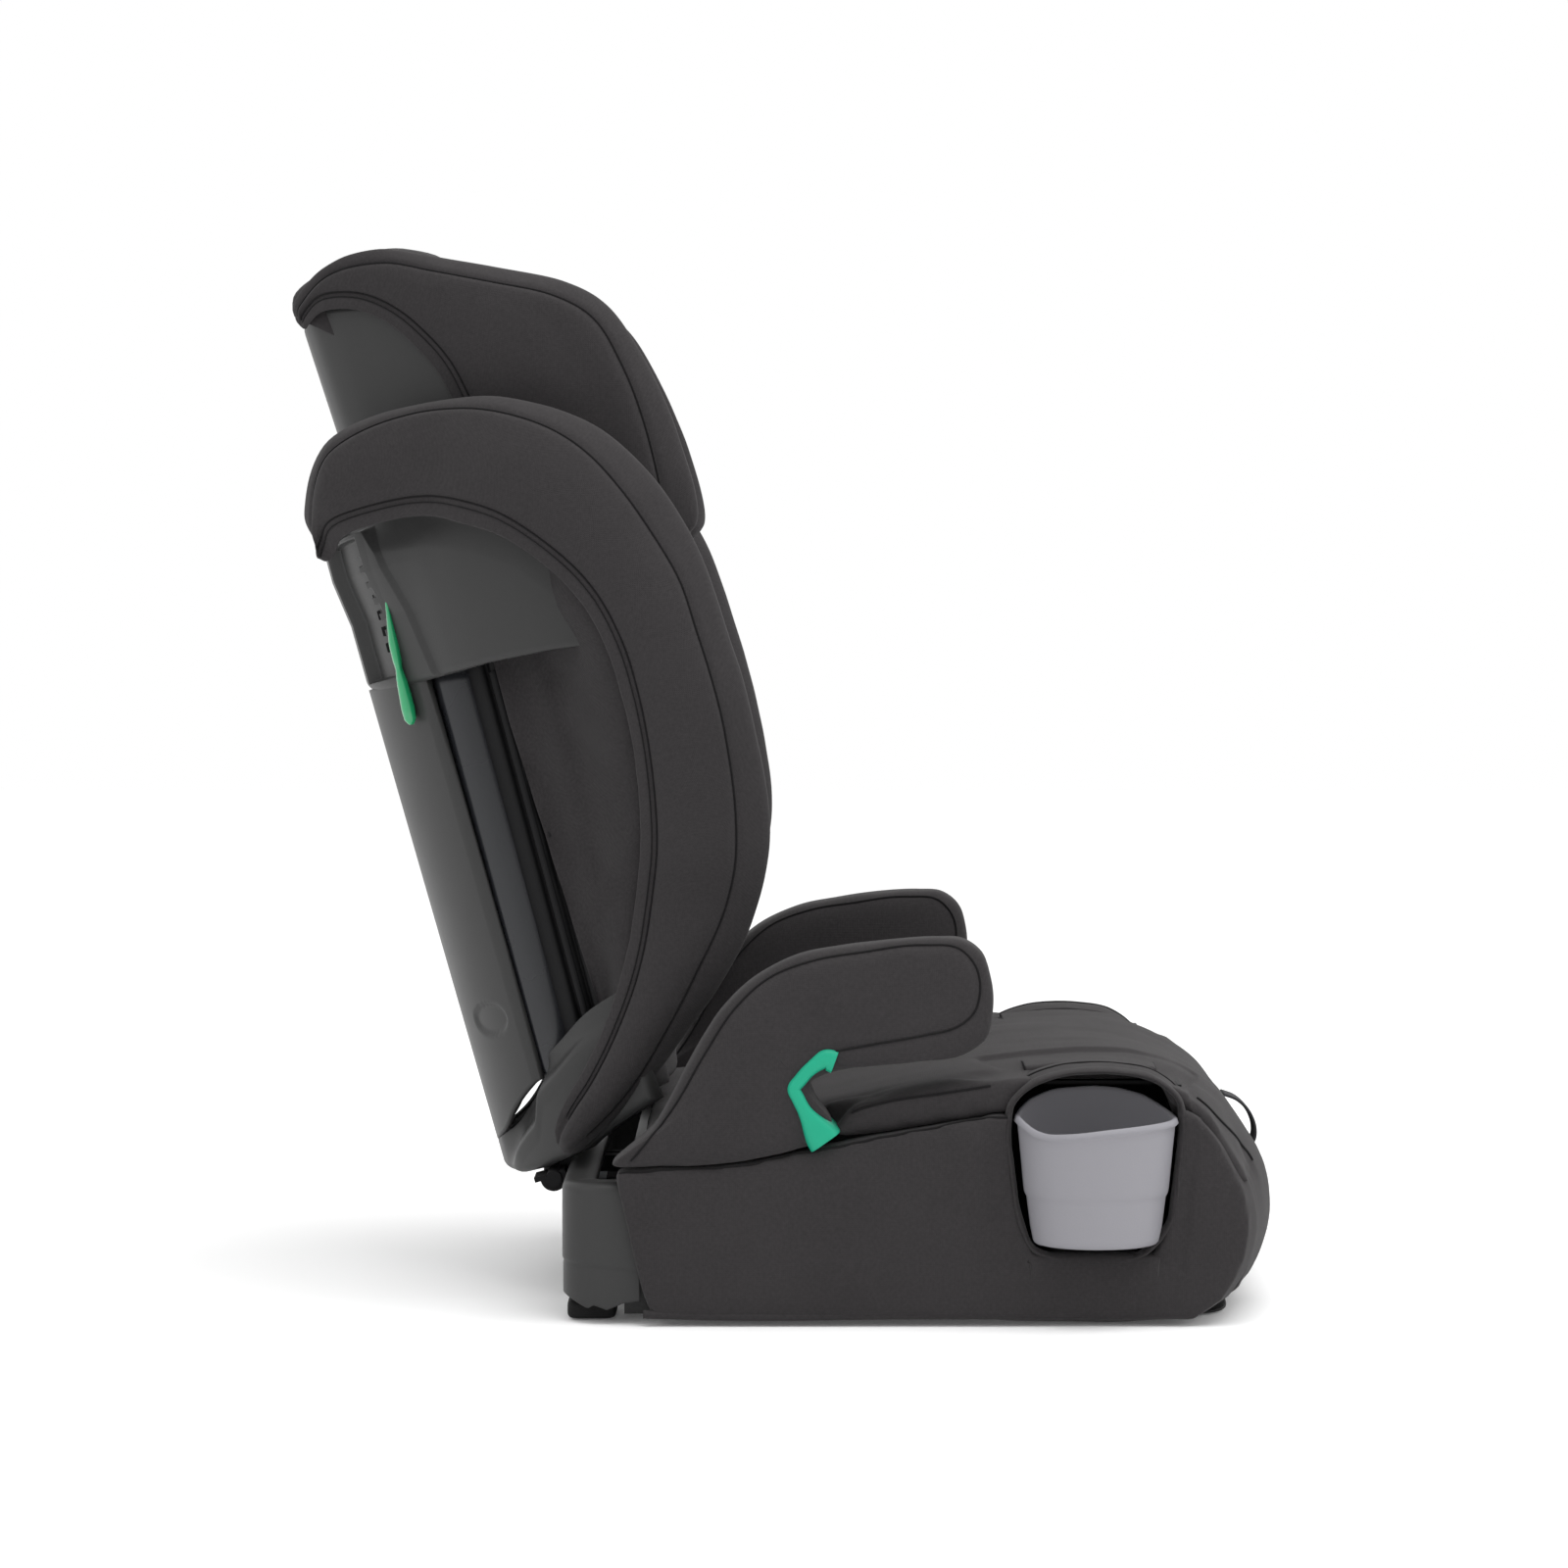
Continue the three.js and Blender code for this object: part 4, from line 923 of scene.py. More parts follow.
def makeHeadWing(hand, side):
    # closed sections from the hem band out to the edge; the outer face's place across depends on how far forward it is
    rows = headPlan["rows"]
    edge, band, seam = (alongIndex(p, rows) for p in (headEdge, headBand, headSeam))
    run = np.linalg.norm(edge - band, axis=1, keepdims=True)
    hem = band + (edge - band) * np.minimum(headPlan["hemWidth"] / run, 0.45)

    def rail(start, end, share, offset):
        p = start + (end - start) * share
        half = 4.5 + 10.5 * easeStep(50, 125, p[:, 0])
        table = np.array(headAcross, float)
        outer = np.interp(p[:, 0], table[:, 0], table[:, 1])
        return fromBack(p[:, 0], p[:, 1], side * (outer + half * (offset - 1)))

    rails = [
        rail(band, band, 0, 0.55), rail(hem, hem, 0, 0.85), rail(hem, seam, 0.35, 1.05), rail(hem, seam, 0.72, 1.05),
        rail(seam, seam, 0, 0.82), rail(edge, edge, 0, 0), rail(hem, edge, 0.85, -0.75), rail(hem, edge, 0.5, -1),
        rail(hem, edge, 0.12, -0.85), rail(band, hem, 0.3, -0.2),
    ]
    perSpan = [8, 14, 14, 14, 12, 12, 12, 12, 8, 6]
    grid = railLoft(rails, perSpan, [0.5, 0.8, 1, 1, 0.9, 1, 1, 1, 0.8, 0.6])
    normal = gridNormals(grid)
    starts = np.r_[0, np.cumsum(perSpan)]
    reach = np.cumsum(np.linalg.norm(np.diff(grid, axis=1, append=grid[:, :1]), axis=2), axis=1)
    for index, depth in ((1, 1.6), (4, 1.2)):
        away = np.abs(reach - reach[:, starts[index]][:, None])
        grid = grid - normal * (depth * np.exp(-((away / 2.2) ** 2)))[..., None]
    grid = grid + normal * (softNoise(grid, 100, 51 + side) * 0.9)[..., None]
    grid = roundEnds(grid, headPlan["endReach"], 0.3)
    wing = gridPiece(f"headWing.{hand}", grid, closeV=True, capEnds=True)
    pads(paint(wing, charcoalCloth), "headrest", "charcoal_fabric", 0.6, f"headrest_wing_{hand}")
    for label, column, radius in (("hem", starts[1], 0.65), ("hemLow", starts[1] - 2, 0.5), ("front", starts[4], 0.75)):
        path = grid[4:-4, column] + normal[4:-4, column] * 0.15
        path = (path + np.roll(path, 1, 0) + np.roll(path, -1, 0))[1:-1] / 3
        line = gridPiece(f"headSeam.{label}.{hand}", tubeAlong(path, radius, 8), closeV=True, capEnds=True)
        ridden(paint(line, seamThreadAndShade), "headrest", "charcoal_fabric")


def makeHeadPad():
    # the middle: one profile carried across, crowned in front, with a hump over the top and a hook behind the shell
    x = np.linspace(-93, 93, 96)
    across = np.abs(x) / 93
    profile = curveThrough([(66, 402), (84, 398), (103, 401), (110, 415), (112, 450), (112, 500),
                            (110, 545), (104, 566),
                            (92, 577), (74, 582), (55, 581.5), (38, 577.5), (24, 570), (16, 560),
                            (15, 549), (20, 546),
                            (34, 553), (52, 552), (62, 545), (64, 500), (63, 440)], 130, closed=True)
    grid = np.empty((len(x), len(profile), 3))
    frontness = easeStep(80, 112, profile[:, 0])
    crown = 9 * (1 - across**2)[:, None] * frontness
    lift = (-2.8 - 4.5 * across**2)[:, None] * easeStep(560, 582, profile[:, 1])
    dip = 2.6 * sum(np.exp(-(((x - line) / 2.8) ** 2)) for line in (-52, 52))[:, None] * frontness
    wider = 1 + 0.2 * easeStep(30, 55, profile[:, 0]) * (1 - easeStep(86, 104, profile[:, 0]))
    grid = fromBack(profile[:, 0] + crown - dip, profile[:, 1] + lift, x[:, None] * wider)
    grid = grid + gridNormals(grid) * (softNoise(grid, 80, 61) * 0.8)[..., None]
    grid = roundEnds(grid, 6, 0.72)
    pad = gridPiece("headCushion", grid, closeV=True, capEnds=True)
    pads(paint(pad, charcoalCloth), "headrest", "charcoal_fabric", 0.7, "headrest_pad")


def makeHeadShell():
    # a thin moulded wall: bowed across, leaning a little, its top edge tucked under the cover's hem
    table = np.array([(-137, 109), (-110, 57), (-96, 36), (-84, 25), (-72, 19.5), (-40, 14.5),
                      (0, 12.5), (40, 14.5),
                      (72, 19.5), (84, 25), (96, 36), (110, 57), (137, 109)], float)
    line = curveThrough(table, 150)
    v0, x = line[:, 1], line[:, 0]
    top = np.interp(v0, [12, 15, 24, 36, 58, 78, 92, 103, 112], [540, 541, 547, 548, 543, 530, 512, 490, 464])
    t = np.linspace(0, 1, 46)[:, None]
    w = 428 + t * (top - 428)
    v = v0 + 3.5 * np.clip((545 - w) / 70, 0, 1)
    wallIn = 3.6
    n = np.gradient(line, axis=0)
    n = np.column_stack([-n[:, 1], n[:, 0]])
    n = n / np.linalg.norm(n, axis=1)[:, None]
    outer = fromBack(v, w, x)
    inner = fromBack(v + wallIn * n[:, 1], w, x + wallIn * n[:, 0])
    grid = np.concatenate([outer, inner[::-1]], axis=0)
    shell = gridPiece("headShell", grid.transpose(1, 0, 2), closeV=True, capEnds=True)
    ridden(paint(shell, shellMould), "headrest", "shell_plastic", "headrest_shell")


for hand, side in sides.items():
    makeHeadWing(hand, side)
makeHeadPad()
makeHeadShell()
print("headrest made")


# ---- the back's moulded shell
shellPlan = {"bulgeHalf": 100, "bulge": 39, "wall": 3, "columnTop": 313, "deeper": 1.08}


def bulgeAt(x):
    # the rear face is a round arc: radius from its half width and height
    radius = (shellPlan["bulgeHalf"] ** 2 + shellPlan["bulge"] ** 2) / (2 * shellPlan["bulge"])
    return radius - np.sqrt(radius**2 - np.asarray(x, float) ** 2)


scoopEdge = curveThrough([(-6, 4), (0, 12), (11, 23), (19, 34), (33, 47), (48, 57), (69, 72),
                          (100, 84)], 200)


def makeColumn():
    # arc across, straight up; a plain round dimple on both sides, and rolled side edges
    x = np.linspace(-100, 100, 161)
    v0 = bulgeAt(x)
    low = np.interp(v0, scoopEdge[:, 0], scoopEdge[:, 1]) + 0.4
    t = np.linspace(0, 1, 150)[:, None]
    w = low + t * (shellPlan["columnTop"] - low)
    v, xx = np.broadcast_arrays(v0, w)[0].copy(), np.broadcast_arrays(x, w)[0].copy()
    away = np.hypot((v - 21) / 11, (w - 94) / 11)
    dent = 1 - easeStep(0.85, 1.0, away)
    v = v * shellPlan["deeper"] - (4.5 + 0.0135 * w) + 1.8 * dent
    v = v + 2.6 * easeStep(97, 100, np.abs(xx)) ** 2
    outer = fromBack(v, w, xx)
    inner = fromBack(v + shellPlan["wall"], w, xx)
    grid = np.concatenate([outer, inner[::-1]], axis=0)
    column = gridPiece("columnCover", grid.transpose(1, 0, 2), closeV=True, capEnds=True)
    ridden(paint(column, shellMould), "back", "shell_plastic", "column_cover")


def makeRails():
    # a smooth moulded tube each side, drawn in at its foot
    low, high = 44, shellPlan["columnTop"]
    for hand, side in sides.items():
        w = np.r_[np.linspace(low, low + 14, 12), np.linspace(low + 20, high, 30)]
        radius = 17 * np.sqrt(np.clip(1 - np.clip((low + 14 - w) / 16, 0, 1) ** 2, 0.05, 1))
        turn = np.linspace(0, 2 * np.pi, 56, endpoint=False)
        v = 54 + radius[:, None] * np.sin(turn)
        x = side * (86 + radius[:, None] * np.cos(turn))
        rail = gridPiece(f"sideRail.{hand}", fromBack(v, w[:, None], x), closeV=True, capEnds=True)
        ridden(paint(rail, railMould), "back", "shell_plastic", f"side_rail_{hand}")


housingPlan = {"frameRise": 3.2, "recess": 9.0, "teeth": 10.5, "dip": 6, "wall": 4}


def makeHousing():
    # plan curve of the rear arc and the shoulders, between a lower lip and a top that tucks under the wings' hems
    shoulder = curveThrough([(94, bulgeAt(94) - 2), (112, 45), (130, 58), (160, 95), (176, 130),
                             (181, 160)], 190)
    arc = np.unique(np.r_[np.linspace(0, 30, 16), np.linspace(30, 94, 110)])
    half = np.vstack([np.column_stack([arc, bulgeAt(arc) - 2]), shoulder[1:]])
    x = np.r_[-half[::-1, 0], half[1:, 0]]
    v0 = np.r_[half[::-1, 1], half[1:, 1]]
    lowTable = [(-2, 314), (2, 311), (8, 309.5), (38, 310), (76, 311), (116, 309), (142, 306),
                (152, 300), (160, 288), (164, 276)]
    highTable = [(-8, 410), (9, 413), (31, 416), (60, 411), (88, 400), (114, 382), (142, 345),
                 (156, 300), (160, 286), (164, 280)]
    low = np.interp(v0, *np.array(lowTable, float).T)
    high = np.maximum(np.interp(v0, *np.array(highTable, float).T), low + 3)
    t = np.linspace(0, 1, 170)[:, None]
    w = low + t * (high - low)
    ax = np.abs(np.broadcast_to(x, w.shape))
    rearward = np.interp(w, [311, 355, 385], [3.4, 3.8, 8.0]) * (1 - easeStep(96, 140, ax))
    v = np.broadcast_to(v0, w.shape) - rearward
    # the raised frame round the recess, its outer corner line slanting down and rounded at the top
    corner = np.interp(w, [311, 395, 412], [116, 101, 94])
    topLine = 411 - 0.10 * (88 - ax).clip(0)
    gapSide = np.minimum(corner - ax, topLine - w)
    frameOn = easeStep(-0.5, 0.5, gapSide)
    v = v - housingPlan["frameRise"] * frameOn
    tooth = (np.sin((w - 395) * 2 * np.pi / housingPlan["teeth"]) > 0.1) * (w > 334) * (w < 396)
    right = 91 - 4.6 * tooth - np.interp(w, [311, 404], [0, 5])
    inside = np.minimum.reduce([right - ax, ax - 33, w - 317, (403 + 0.05 * ax) - w])
    v = v + housingPlan["recess"] * easeStep(-0.5, 0.9, inside)
    v = v + housingPlan["dip"] * (1 - easeStep(0, 22, high - w)) * (ax > 60) * (1 - frameOn)
    lip = 1 - np.clip((w - low) / 5, 0, 1)
    v = v + 5 * (1 - np.sqrt(np.clip(1 - lip**2, 0, 1)))
    outer = fromBack(v, w, np.broadcast_to(x, w.shape))
    tuck = np.linspace(0, 1, 6)[1:, None]
    under = fromBack(v[:1] + tuck * 10, w[:1] + tuck * 0.5, np.broadcast_to(x, (5, len(x))))
    inner = fromBack(v + housingPlan["wall"] + 5, w + 1.5, np.broadcast_to(x, w.shape))
    grid = np.concatenate([inner[::-1], under[::-1], outer], axis=0)
    hood = gridPiece("housing", grid.transpose(1, 0, 2), closeV=True, capEnds=True)
    ridden(paint(hood, shellMould), "back", "shell_plastic", "housing")


def makeLowerShell():
    # below the column: flush in the middle, scooped to both sides, then flaring out under the wings
    curve = curveThrough([(-150, 104), (-128, 66), (-100, 38), (-75, 21), (-50, 9.5), (-25, 2.6),
                          (0, 0), (25, 2.6), (50, 9.5),
                          (75, 21), (100, 38), (128, 66), (150, 104)], 181)
    x, v0 = curve.T
    top = np.interp(v0, scoopEdge[:, 0], scoopEdge[:, 1]) - 0.4 + 15 * easeStep(33, 42, v0)
    low = np.interp(np.abs(x), [0, 60, 90, 120, 150], [-7, -7, -4, 4, 26])
    t = np.linspace(0, 1, 70)[:, None]
    w = low + t * (top - low)
    down = top - w
    sideways = easeStep(34, 72, np.abs(x))
    scoop = 9 * np.exp(-((down / 15) ** 2)) - 5 * easeStep(10, 26, down) + 1.5 * np.abs(np.clip((down - 24) / 10, -1, 1))
    v = v0 * shellPlan["deeper"] - 4.5 - 0.0135 * w + sideways * scoop
    foot = 1 - np.clip((w - low) / 6, 0, 1)
    v = v + 5 * (1 - np.sqrt(np.clip(1 - foot**2, 0, 1)))
    outer = fromBack(v, w, np.broadcast_to(x, w.shape))
    inner = fromBack(v + 5, w, np.broadcast_to(x, w.shape) * 0.985)
    grid = np.concatenate([outer, inner[::-1]], axis=0)
    shell = gridPiece("lowerShell", grid.transpose(1, 0, 2), closeV=True, capEnds=True)
    ridden(paint(shell, shellMould), "back", "shell_plastic", "lower_shell")


def makeGapShadeWalls():
    # a strip closes the gap between each tube and the cover's edge; its black colour is painted shade of that deep gap
    for hand, side in sides.items():
        w = np.linspace(58, 330, 60)[:, None]
        v = np.array([60, 69, 72, 73, 76, 77, 81, 82, 84, 85, 92, 92, 80, 68, 58.0])
        x = np.array([99, 106, 107, 102, 102, 108, 109, 104, 104, 110, 110.5, 99, 99, 98, 95.0])
        wall = gridPiece(f"sideWall.{hand}", fromBack(v + 0 * w, w + 0 * v, side * x + 0 * w), closeV=True, capEnds=True)
        # painted shade: the black stands for the shade inside the deep gap, where little light reaches
        ridden(paint(wall, blackMould), "back", "black_plastic")


makeColumn()
makeRails()
makeGapShadeWalls()
makeHousing()
makeLowerShell()
print("back shell made")


# ---- base: rear cover and feet
def makeRearCover():
    # a rounded plan outline carried up, with a parting line, a softened top edge and a wavy lower edge
    halfX, frontY, rearY, radius = 203, 176, 224, 26
    turn = np.linspace(0, np.pi / 2, 26)
    cornerX, cornerY = halfX - radius + radius * np.cos(turn), rearY - radius + radius * np.sin(turn)
    sideY = np.linspace(frontY, rearY - radius, 24)[:-1]
    right = np.vstack([np.column_stack([np.full(len(sideY), halfX), sideY]), np.column_stack([cornerX, cornerY])])
    rearX = np.linspace(halfX - radius, -(halfX - radius), 180)[1:-1]
    ring = np.vstack([right, np.column_stack([rearX, np.full(len(rearX), rearY)]), (right * [-1, 1])[::-1]])
    tangent = np.gradient(ring, axis=0)
    out = np.column_stack([tangent[:, 1], -tangent[:, 0]])
    out /= np.linalg.norm(out, axis=1)[:, None]
    out *= np.sign((out * (ring - [0, 150])).sum(1).mean())
    lowZ = np.interp(ring[:, 1], [176, 186, 196, 204, 208, 216, 224], [14, 12.6, 8.5, 11.5, 9.2, 13, 17])
    lowZ = np.where(np.abs(ring[:, 0]) < 170, 16, lowZ)
    # arched cut-outs from below let the connectors' arms out
    low, high = nodeBox("connector_arm_left")
    middleX, halfWide = (low[0] + high[0]) / 2, (high[0] - low[0]) / 2
    within = np.abs(np.abs(ring[:, 0]) - middleX) < halfWide + 3.5
    lowZ = np.where(within, high[2] + 3.5, lowZ)
    topZ = 85.5
    t = np.unique(np.r_[np.linspace(0, 0.93, 60), np.linspace(0.93, 1, 14)])[:, None]
    z = lowZ + t * (topZ - lowZ)
    parting = np.interp(ring[:, 1], [176, 224], [31.5, 36.5])
    groove = 0.9 * np.exp(-(((z - parting) / 0.9) ** 2)) + 0.5 * easeStep(0, 1.2, parting - z)
    tip = 6 * (1 - np.sqrt(np.clip(1 - np.clip((z - topZ + 6) / 6, 0, 1) ** 2, 0, 1)))
    inward = groove + tip
    outer = np.stack([ring[:, 0] - inward * out[:, 0], ring[:, 1] - inward * out[:, 1], z], -1)
    roof = np.stack([ring[:, 0] - 20 * out[:, 0], ring[:, 1] - 20 * out[:, 1], np.full(len(ring), topZ)], -1)[None]
    inner = np.stack([ring[:, 0] - 4.5 * out[:, 0], ring[:, 1] - 4.5 * out[:, 1], lowZ + 1], -1)[None]
    inTop = np.stack([ring[:, 0] - 21 * out[:, 0], ring[:, 1] - 21 * out[:, 1], np.full(len(ring), topZ - 3.5)], -1)[None]
    mid = np.stack([ring[:, 0] - 5 * out[:, 0], ring[:, 1] - 5 * out[:, 1], np.full(len(ring), topZ - 6.0)], -1)[None]
    grid = np.concatenate([outer, roof, inTop, mid, inner], axis=0)
    cover = gridPiece("rearCover", grid.transpose(1, 0, 2), closeV=True, capEnds=True)
    ridden(paint(cover, shellMould), "base", "shell_plastic", "base_rear_cover")


def squared(a, power):
    return np.sign(a) * np.abs(a) ** power


def softBlock(name, low, high, plan=0.3, rise=0.5):
    # a box whose corners are rounded by raising the circle's sine and cosine to small powers
    low, high = np.array(low, float), np.array(high, float)
    centre, half = (low + high) / 2, (high - low) / 2
    turn = np.linspace(0, 2 * np.pi, 48, endpoint=False)
    up = np.linspace(-np.pi / 2, np.pi / 2, 22)[1:-1]
    ring = squared(np.cos(up), 0.25)[:, None]
    x = centre[0] + half[0] * ring * squared(np.cos(turn), plan)
    y = centre[1] + half[1] * ring * squared(np.sin(turn), plan)
    z = centre[2] + half[2] * squared(np.sin(up), rise)[:, None] + 0 * x
    return gridPiece(name, np.stack([x, y, z], -1), closeV=True, capEnds=True)


def makeFeet():
    for hand, side in sides.items():
        foot = softBlock(f"foot.{hand}", *nodeBox(f"foot_{hand}"))
        ridden(paint(foot, footRubber), "base", "rubber_foot", f"foot_{hand}")
        high = nodeBox("base_rear_cover")[1]
        x = sorted((side * 54, side * 68))
        lug = softBlock(f"hingeLug.{hand}", (x[0], 219, 64), (x[1], high[1], 85), 0.25, 0.3)
        ridden(paint(lug, shellMould), "base", "shell_plastic")


makeRearCover()
makeFeet()
print("base mouldings made")


# ---- cups
cupPlan = {"middle": (205, -99), "rim": (38.5, 48.2), "foot": (31, 38.5), "wall": 2.6}
cupRimOut = [(-51, 127), (-60, 121), (-68, 119), (-85, 120.4), (-105, 123), (-125, 124.6), (-147, 126)]
cupRimIn = [(-51, 128), (-60, 135), (-75, 139.6), (-100, 141), (-115, 140), (-130, 136.6), (-140, 131),
            (-147, 127)]


def makeCup(hand, side):
    # rings from the floor out, up the tapered wall past its step, over the rolled wavy rim and down inside
    (cx, cy), (rx, ry), (fx, fy), wall = cupPlan["middle"], cupPlan["rim"], cupPlan["foot"], cupPlan["wall"]
    turn = np.linspace(0, 2 * np.pi, 128, endpoint=False)
    y0 = cy + ry * np.sin(turn)
    outside = np.interp(-y0, *(np.array(cupRimOut) * [-1, 1]).T)
    inside = np.interp(-y0, *(np.array(cupRimIn) * [-1, 1]).T)
    outward = easeStep(-0.35, 0.35, np.cos(turn))
    rim = inside + (outside - inside) * outward
    for _ in range(3):
        rim = (np.roll(rim, 1) + rim + np.roll(rim, -1)) / 3
    floor = 49.2
    rows = []

    def ring(share, height, grow=0.0):
        # share 0 is the foot's size and 1 the rim's
        ax, ay = fx + (rx - fx) * share + grow, fy + (ry - fy) * share + grow
        rows.append(np.stack([side * (cx + ax * np.cos(turn)), cy + ay * np.sin(turn), height + 0 * turn], -1))

    for grow, height in ((-30, floor), (-12, floor), (-5, floor + 0.1), (-2, floor + 0.9),
                         (-0.6, floor + 2.4), (0, floor + 5)):
        ring(0, height, grow)
    for share, height in ((0.12, 60), (0.24, 69), (0.33, 76), (0.36, 78.6), (0.44, 79.9), (0.50, 81.2),
                          (0.55, 84)):
        ring(share, height)
    for t in np.linspace(0.12, 0.9, 12):
        ring(0.55 + 0.37 * t, 84 + (rim - 5.5 - 84) * t)
    ring(0.93, rim - 5.2)
    ring(0.94, rim - 4.4, 0.8)
    ring(0.97, rim - 3.2, 1.7)
    ring(1.0, rim - 1.8, 0.9)
    ring(1.0, rim - 0.6, 0.5)
    ring(1.0, rim, -0.4)
    ring(1.0, rim, -1.4)
    ring(1.0, rim - 0.6, -2.3)
    ring(0.97, rim - 2.4, -2.6)
    for t in np.linspace(0.9, 0.0, 12):
        ring(0.50 + 0.43 * t, 84 + (rim - 5.5 - 84) * t, -wall)
    for share, height in ((0.33, 78), (0.2, 66), (0.0, floor + 6)):
        ring(share, height, -wall)
    for grow in (-4, -8, -20, -30):
        ring(0, floor + wall + (1.2 if grow == -4 else 0), grow)
    cup = gridPiece(f"cup.{hand}", np.array(rows), closeV=True, capEnds=True)
    ridden(paint(cup, cupMould), f"cup_holder_{hand}", "cup_grey", f"cup_{hand}")


# ---- belt guides, levers, pull loop
def makeGuide(hand, side):
    # a rounded strip bent in a V, its tips wider, carried across the armrest
    path = curveThrough([(58.5, 160.5), (64, 162.2), (70, 159), (79.5, 149.5), (83, 144.5),
                         (80.5, 138.5), (71, 122), (64, 112)], 70)
    n = np.gradient(path, axis=0)
    n = np.column_stack([n[:, 1], -n[:, 0]])
    n /= np.linalg.norm(n, axis=1)[:, None]
    s = np.linspace(0, 1, len(path))
    thick = (4.5 + 3.0 * np.exp(-((s / 0.14) ** 2)) + 6.2 * easeStep(0.62, 1.0, s))[:, None]
    turn = np.linspace(0, 2 * np.pi, 40, endpoint=False)
    wide = np.sign(np.cos(turn)) * np.abs(np.cos(turn)) ** 0.25
    deep = np.sign(np.sin(turn)) * np.abs(np.sin(turn)) ** 0.55
    x = side * (196 + 22.4 * wide) + 0 * thick
    yz = path[:, None] + n[:, None] * (thick * deep)[..., None]
    guide = gridPiece(f"beltGuide.{hand}", np.concatenate([x[..., None], yz], -1), closeV=True, capEnds=True)
    ridden(paint(guide, tealMould), "base", "teal_guide", f"belt_guide_{hand}")


def makeLever(hand, side):
    # oval sections along the lever: a slim neck, a waist and a longer paddle
    path = curveThrough([(29.5, 388), (27, 372), (24.6, 352), (23.4, 340), (22.6, 328), (22.2, 322),
                         (21.8, 312), (21.2, 298), (20.6, 286)], 60)
    s = np.linspace(0, 1, len(path))
    width = np.interp(s, [0, 0.3, 0.5, 0.6, 0.65, 0.74, 0.9, 0.97, 1], [1.0, 1.8, 3.4, 3.0, 2.3, 3.6, 4.4, 3.8, 1.5])
    depth = np.interp(s, [0, 0.35, 0.6, 0.65, 0.75, 0.93, 1], [3.0, 4.6, 5.6, 5.0, 5.6, 5.2, 2.0])
    turn = np.linspace(0, 2 * np.pi, 28, endpoint=False)
    v = path[:, :1] - 1.2 + width[:, None] * np.cos(turn)
    x = side * (91 + depth[:, None] * np.sin(turn))
    lever = gridPiece(f"releaseLever.{hand}", fromBack(v, path[:, 1:], x), closeV=True, capEnds=True)
    ridden(paint(lever, leverMould), "release", "release_green", f"release_lever_{hand}")


def makePullLoop():
    # flat webbing bowed out from the front crest, its ends tucked into the seam
    path = curveThrough([(-194, 117), (-202, 114), (-208, 109), (-212.5, 102), (-214.5, 95), (-214, 88),
                         (-210, 82), (-204, 78)], 50)
    n = np.gradient(path, axis=0)
    n = np.column_stack([n[:, 1], -n[:, 0]])
    n /= np.linalg.norm(n, axis=1)[:, None]
    turn = np.linspace(0, 2 * np.pi, 44, endpoint=False)
    wide = np.sign(np.cos(turn)) * np.abs(np.cos(turn)) ** 0.3
    deep = np.sign(np.sin(turn)) * np.abs(np.sin(turn)) ** 0.6
    x = np.broadcast_to(13 * wide, (len(path), len(turn)))
    yz = path[:, None] + n[:, None] * (1.1 * deep)[None, :, None]
    loop = gridPiece("pullLoop", np.concatenate([x[..., None], yz], -1), closeV=True, capEnds=True)
    ridden(paint(loop, loopWebbing), "pull_strap", "webbing", "pull_loop")


collarPlan = {"middle": 203, "thick": 2.2, "flat": 3.4}
collarPath = [(-46, 121), (-48.5, 91), (-53.5, 62), (-61, 46.5), (-75, 41), (-99, 40), (-126, 42.5),
              (-142.5, 60), (-149, 98),
              (-151, 120), (-149, 136), (-134, 149), (-112, 153.5), (-95, 154), (-75, 151.5),
              (-58, 144.5), (-48, 134)]


def makeCollar(hand, side):
    # the cover's rolled edge round the cup opening: a flattened tube on a closed side view curve
    path = curveThrough(collarPath, 180, closed=True)
    path = np.column_stack([np.full(len(path), side * collarPlan["middle"]), path])
    grid = tubeAlong(np.vstack([path[-3:], path, path[:3]]), collarPlan["thick"], 20, flat=collarPlan["flat"])[3:-3]
    grid = grid + gridNormals(grid) * (softNoise(grid, 30, 71 + side) * 0.5)[..., None]
    collar = gridPiece(f"cupCollar.{hand}", grid, closeU=True, closeV=True)
    pads(paint(collar, charcoalCloth), "base", "charcoal_fabric", 0.5)


def makeRoof(hand, side):
    # the cloth over the cup opening: the collar's upper arch carried inward to the seat pad, as a thin padded sheet
    arch = curveThrough([(-47, 104), (-46.5, 122), (-48, 134), (-58, 144.5), (-75, 151.5), (-95, 154),
                         (-112, 153.5),
                         (-134, 149), (-149, 136), (-151, 120), (-150, 104)], 90)
    out = np.gradient(arch, axis=0)
    out = np.column_stack([-out[:, 1], out[:, 0]])
    out /= np.linalg.norm(out, axis=1)[:, None]
    out *= np.sign((out * (arch - [-99, 110])).sum())
    across = np.linspace(160, 205, 24)
    crown = 1.8 * np.sin(np.pi * (across - 160) / 45)
    upper = arch[:, None] + out[:, None] * (1.6 + crown[None, :, None])
    lower = arch[:, None] + out[:, None] * -1.2
    lower = np.broadcast_to(lower, upper.shape)
    yz = np.concatenate([upper, lower[:, ::-1]], axis=1)
    x = np.broadcast_to(side * np.r_[across, across[::-1]], yz.shape[:2])
    grid = np.concatenate([x[..., None], yz], -1)
    grid = grid + np.array([0, 0, 1.0]) * (softNoise(grid, 40, 81 + side) * 0.4)[..., None]
    roof = gridPiece(f"cupRoof.{hand}", grid, closeV=True, capEnds=True)
    pads(paint(roof, charcoalCloth), "base", "charcoal_fabric", 0.3)
    seam = (arch + out * 3.2)[14:-14]
    path = np.column_stack([np.full(len(seam), side * 188.0), seam])
    line = gridPiece(f"cupRoofSeam.{hand}", tubeAlong(path, 0.9, 8), closeV=True, capEnds=True)
    ridden(paint(line, seamThreadAndShade), "base", "charcoal_fabric")


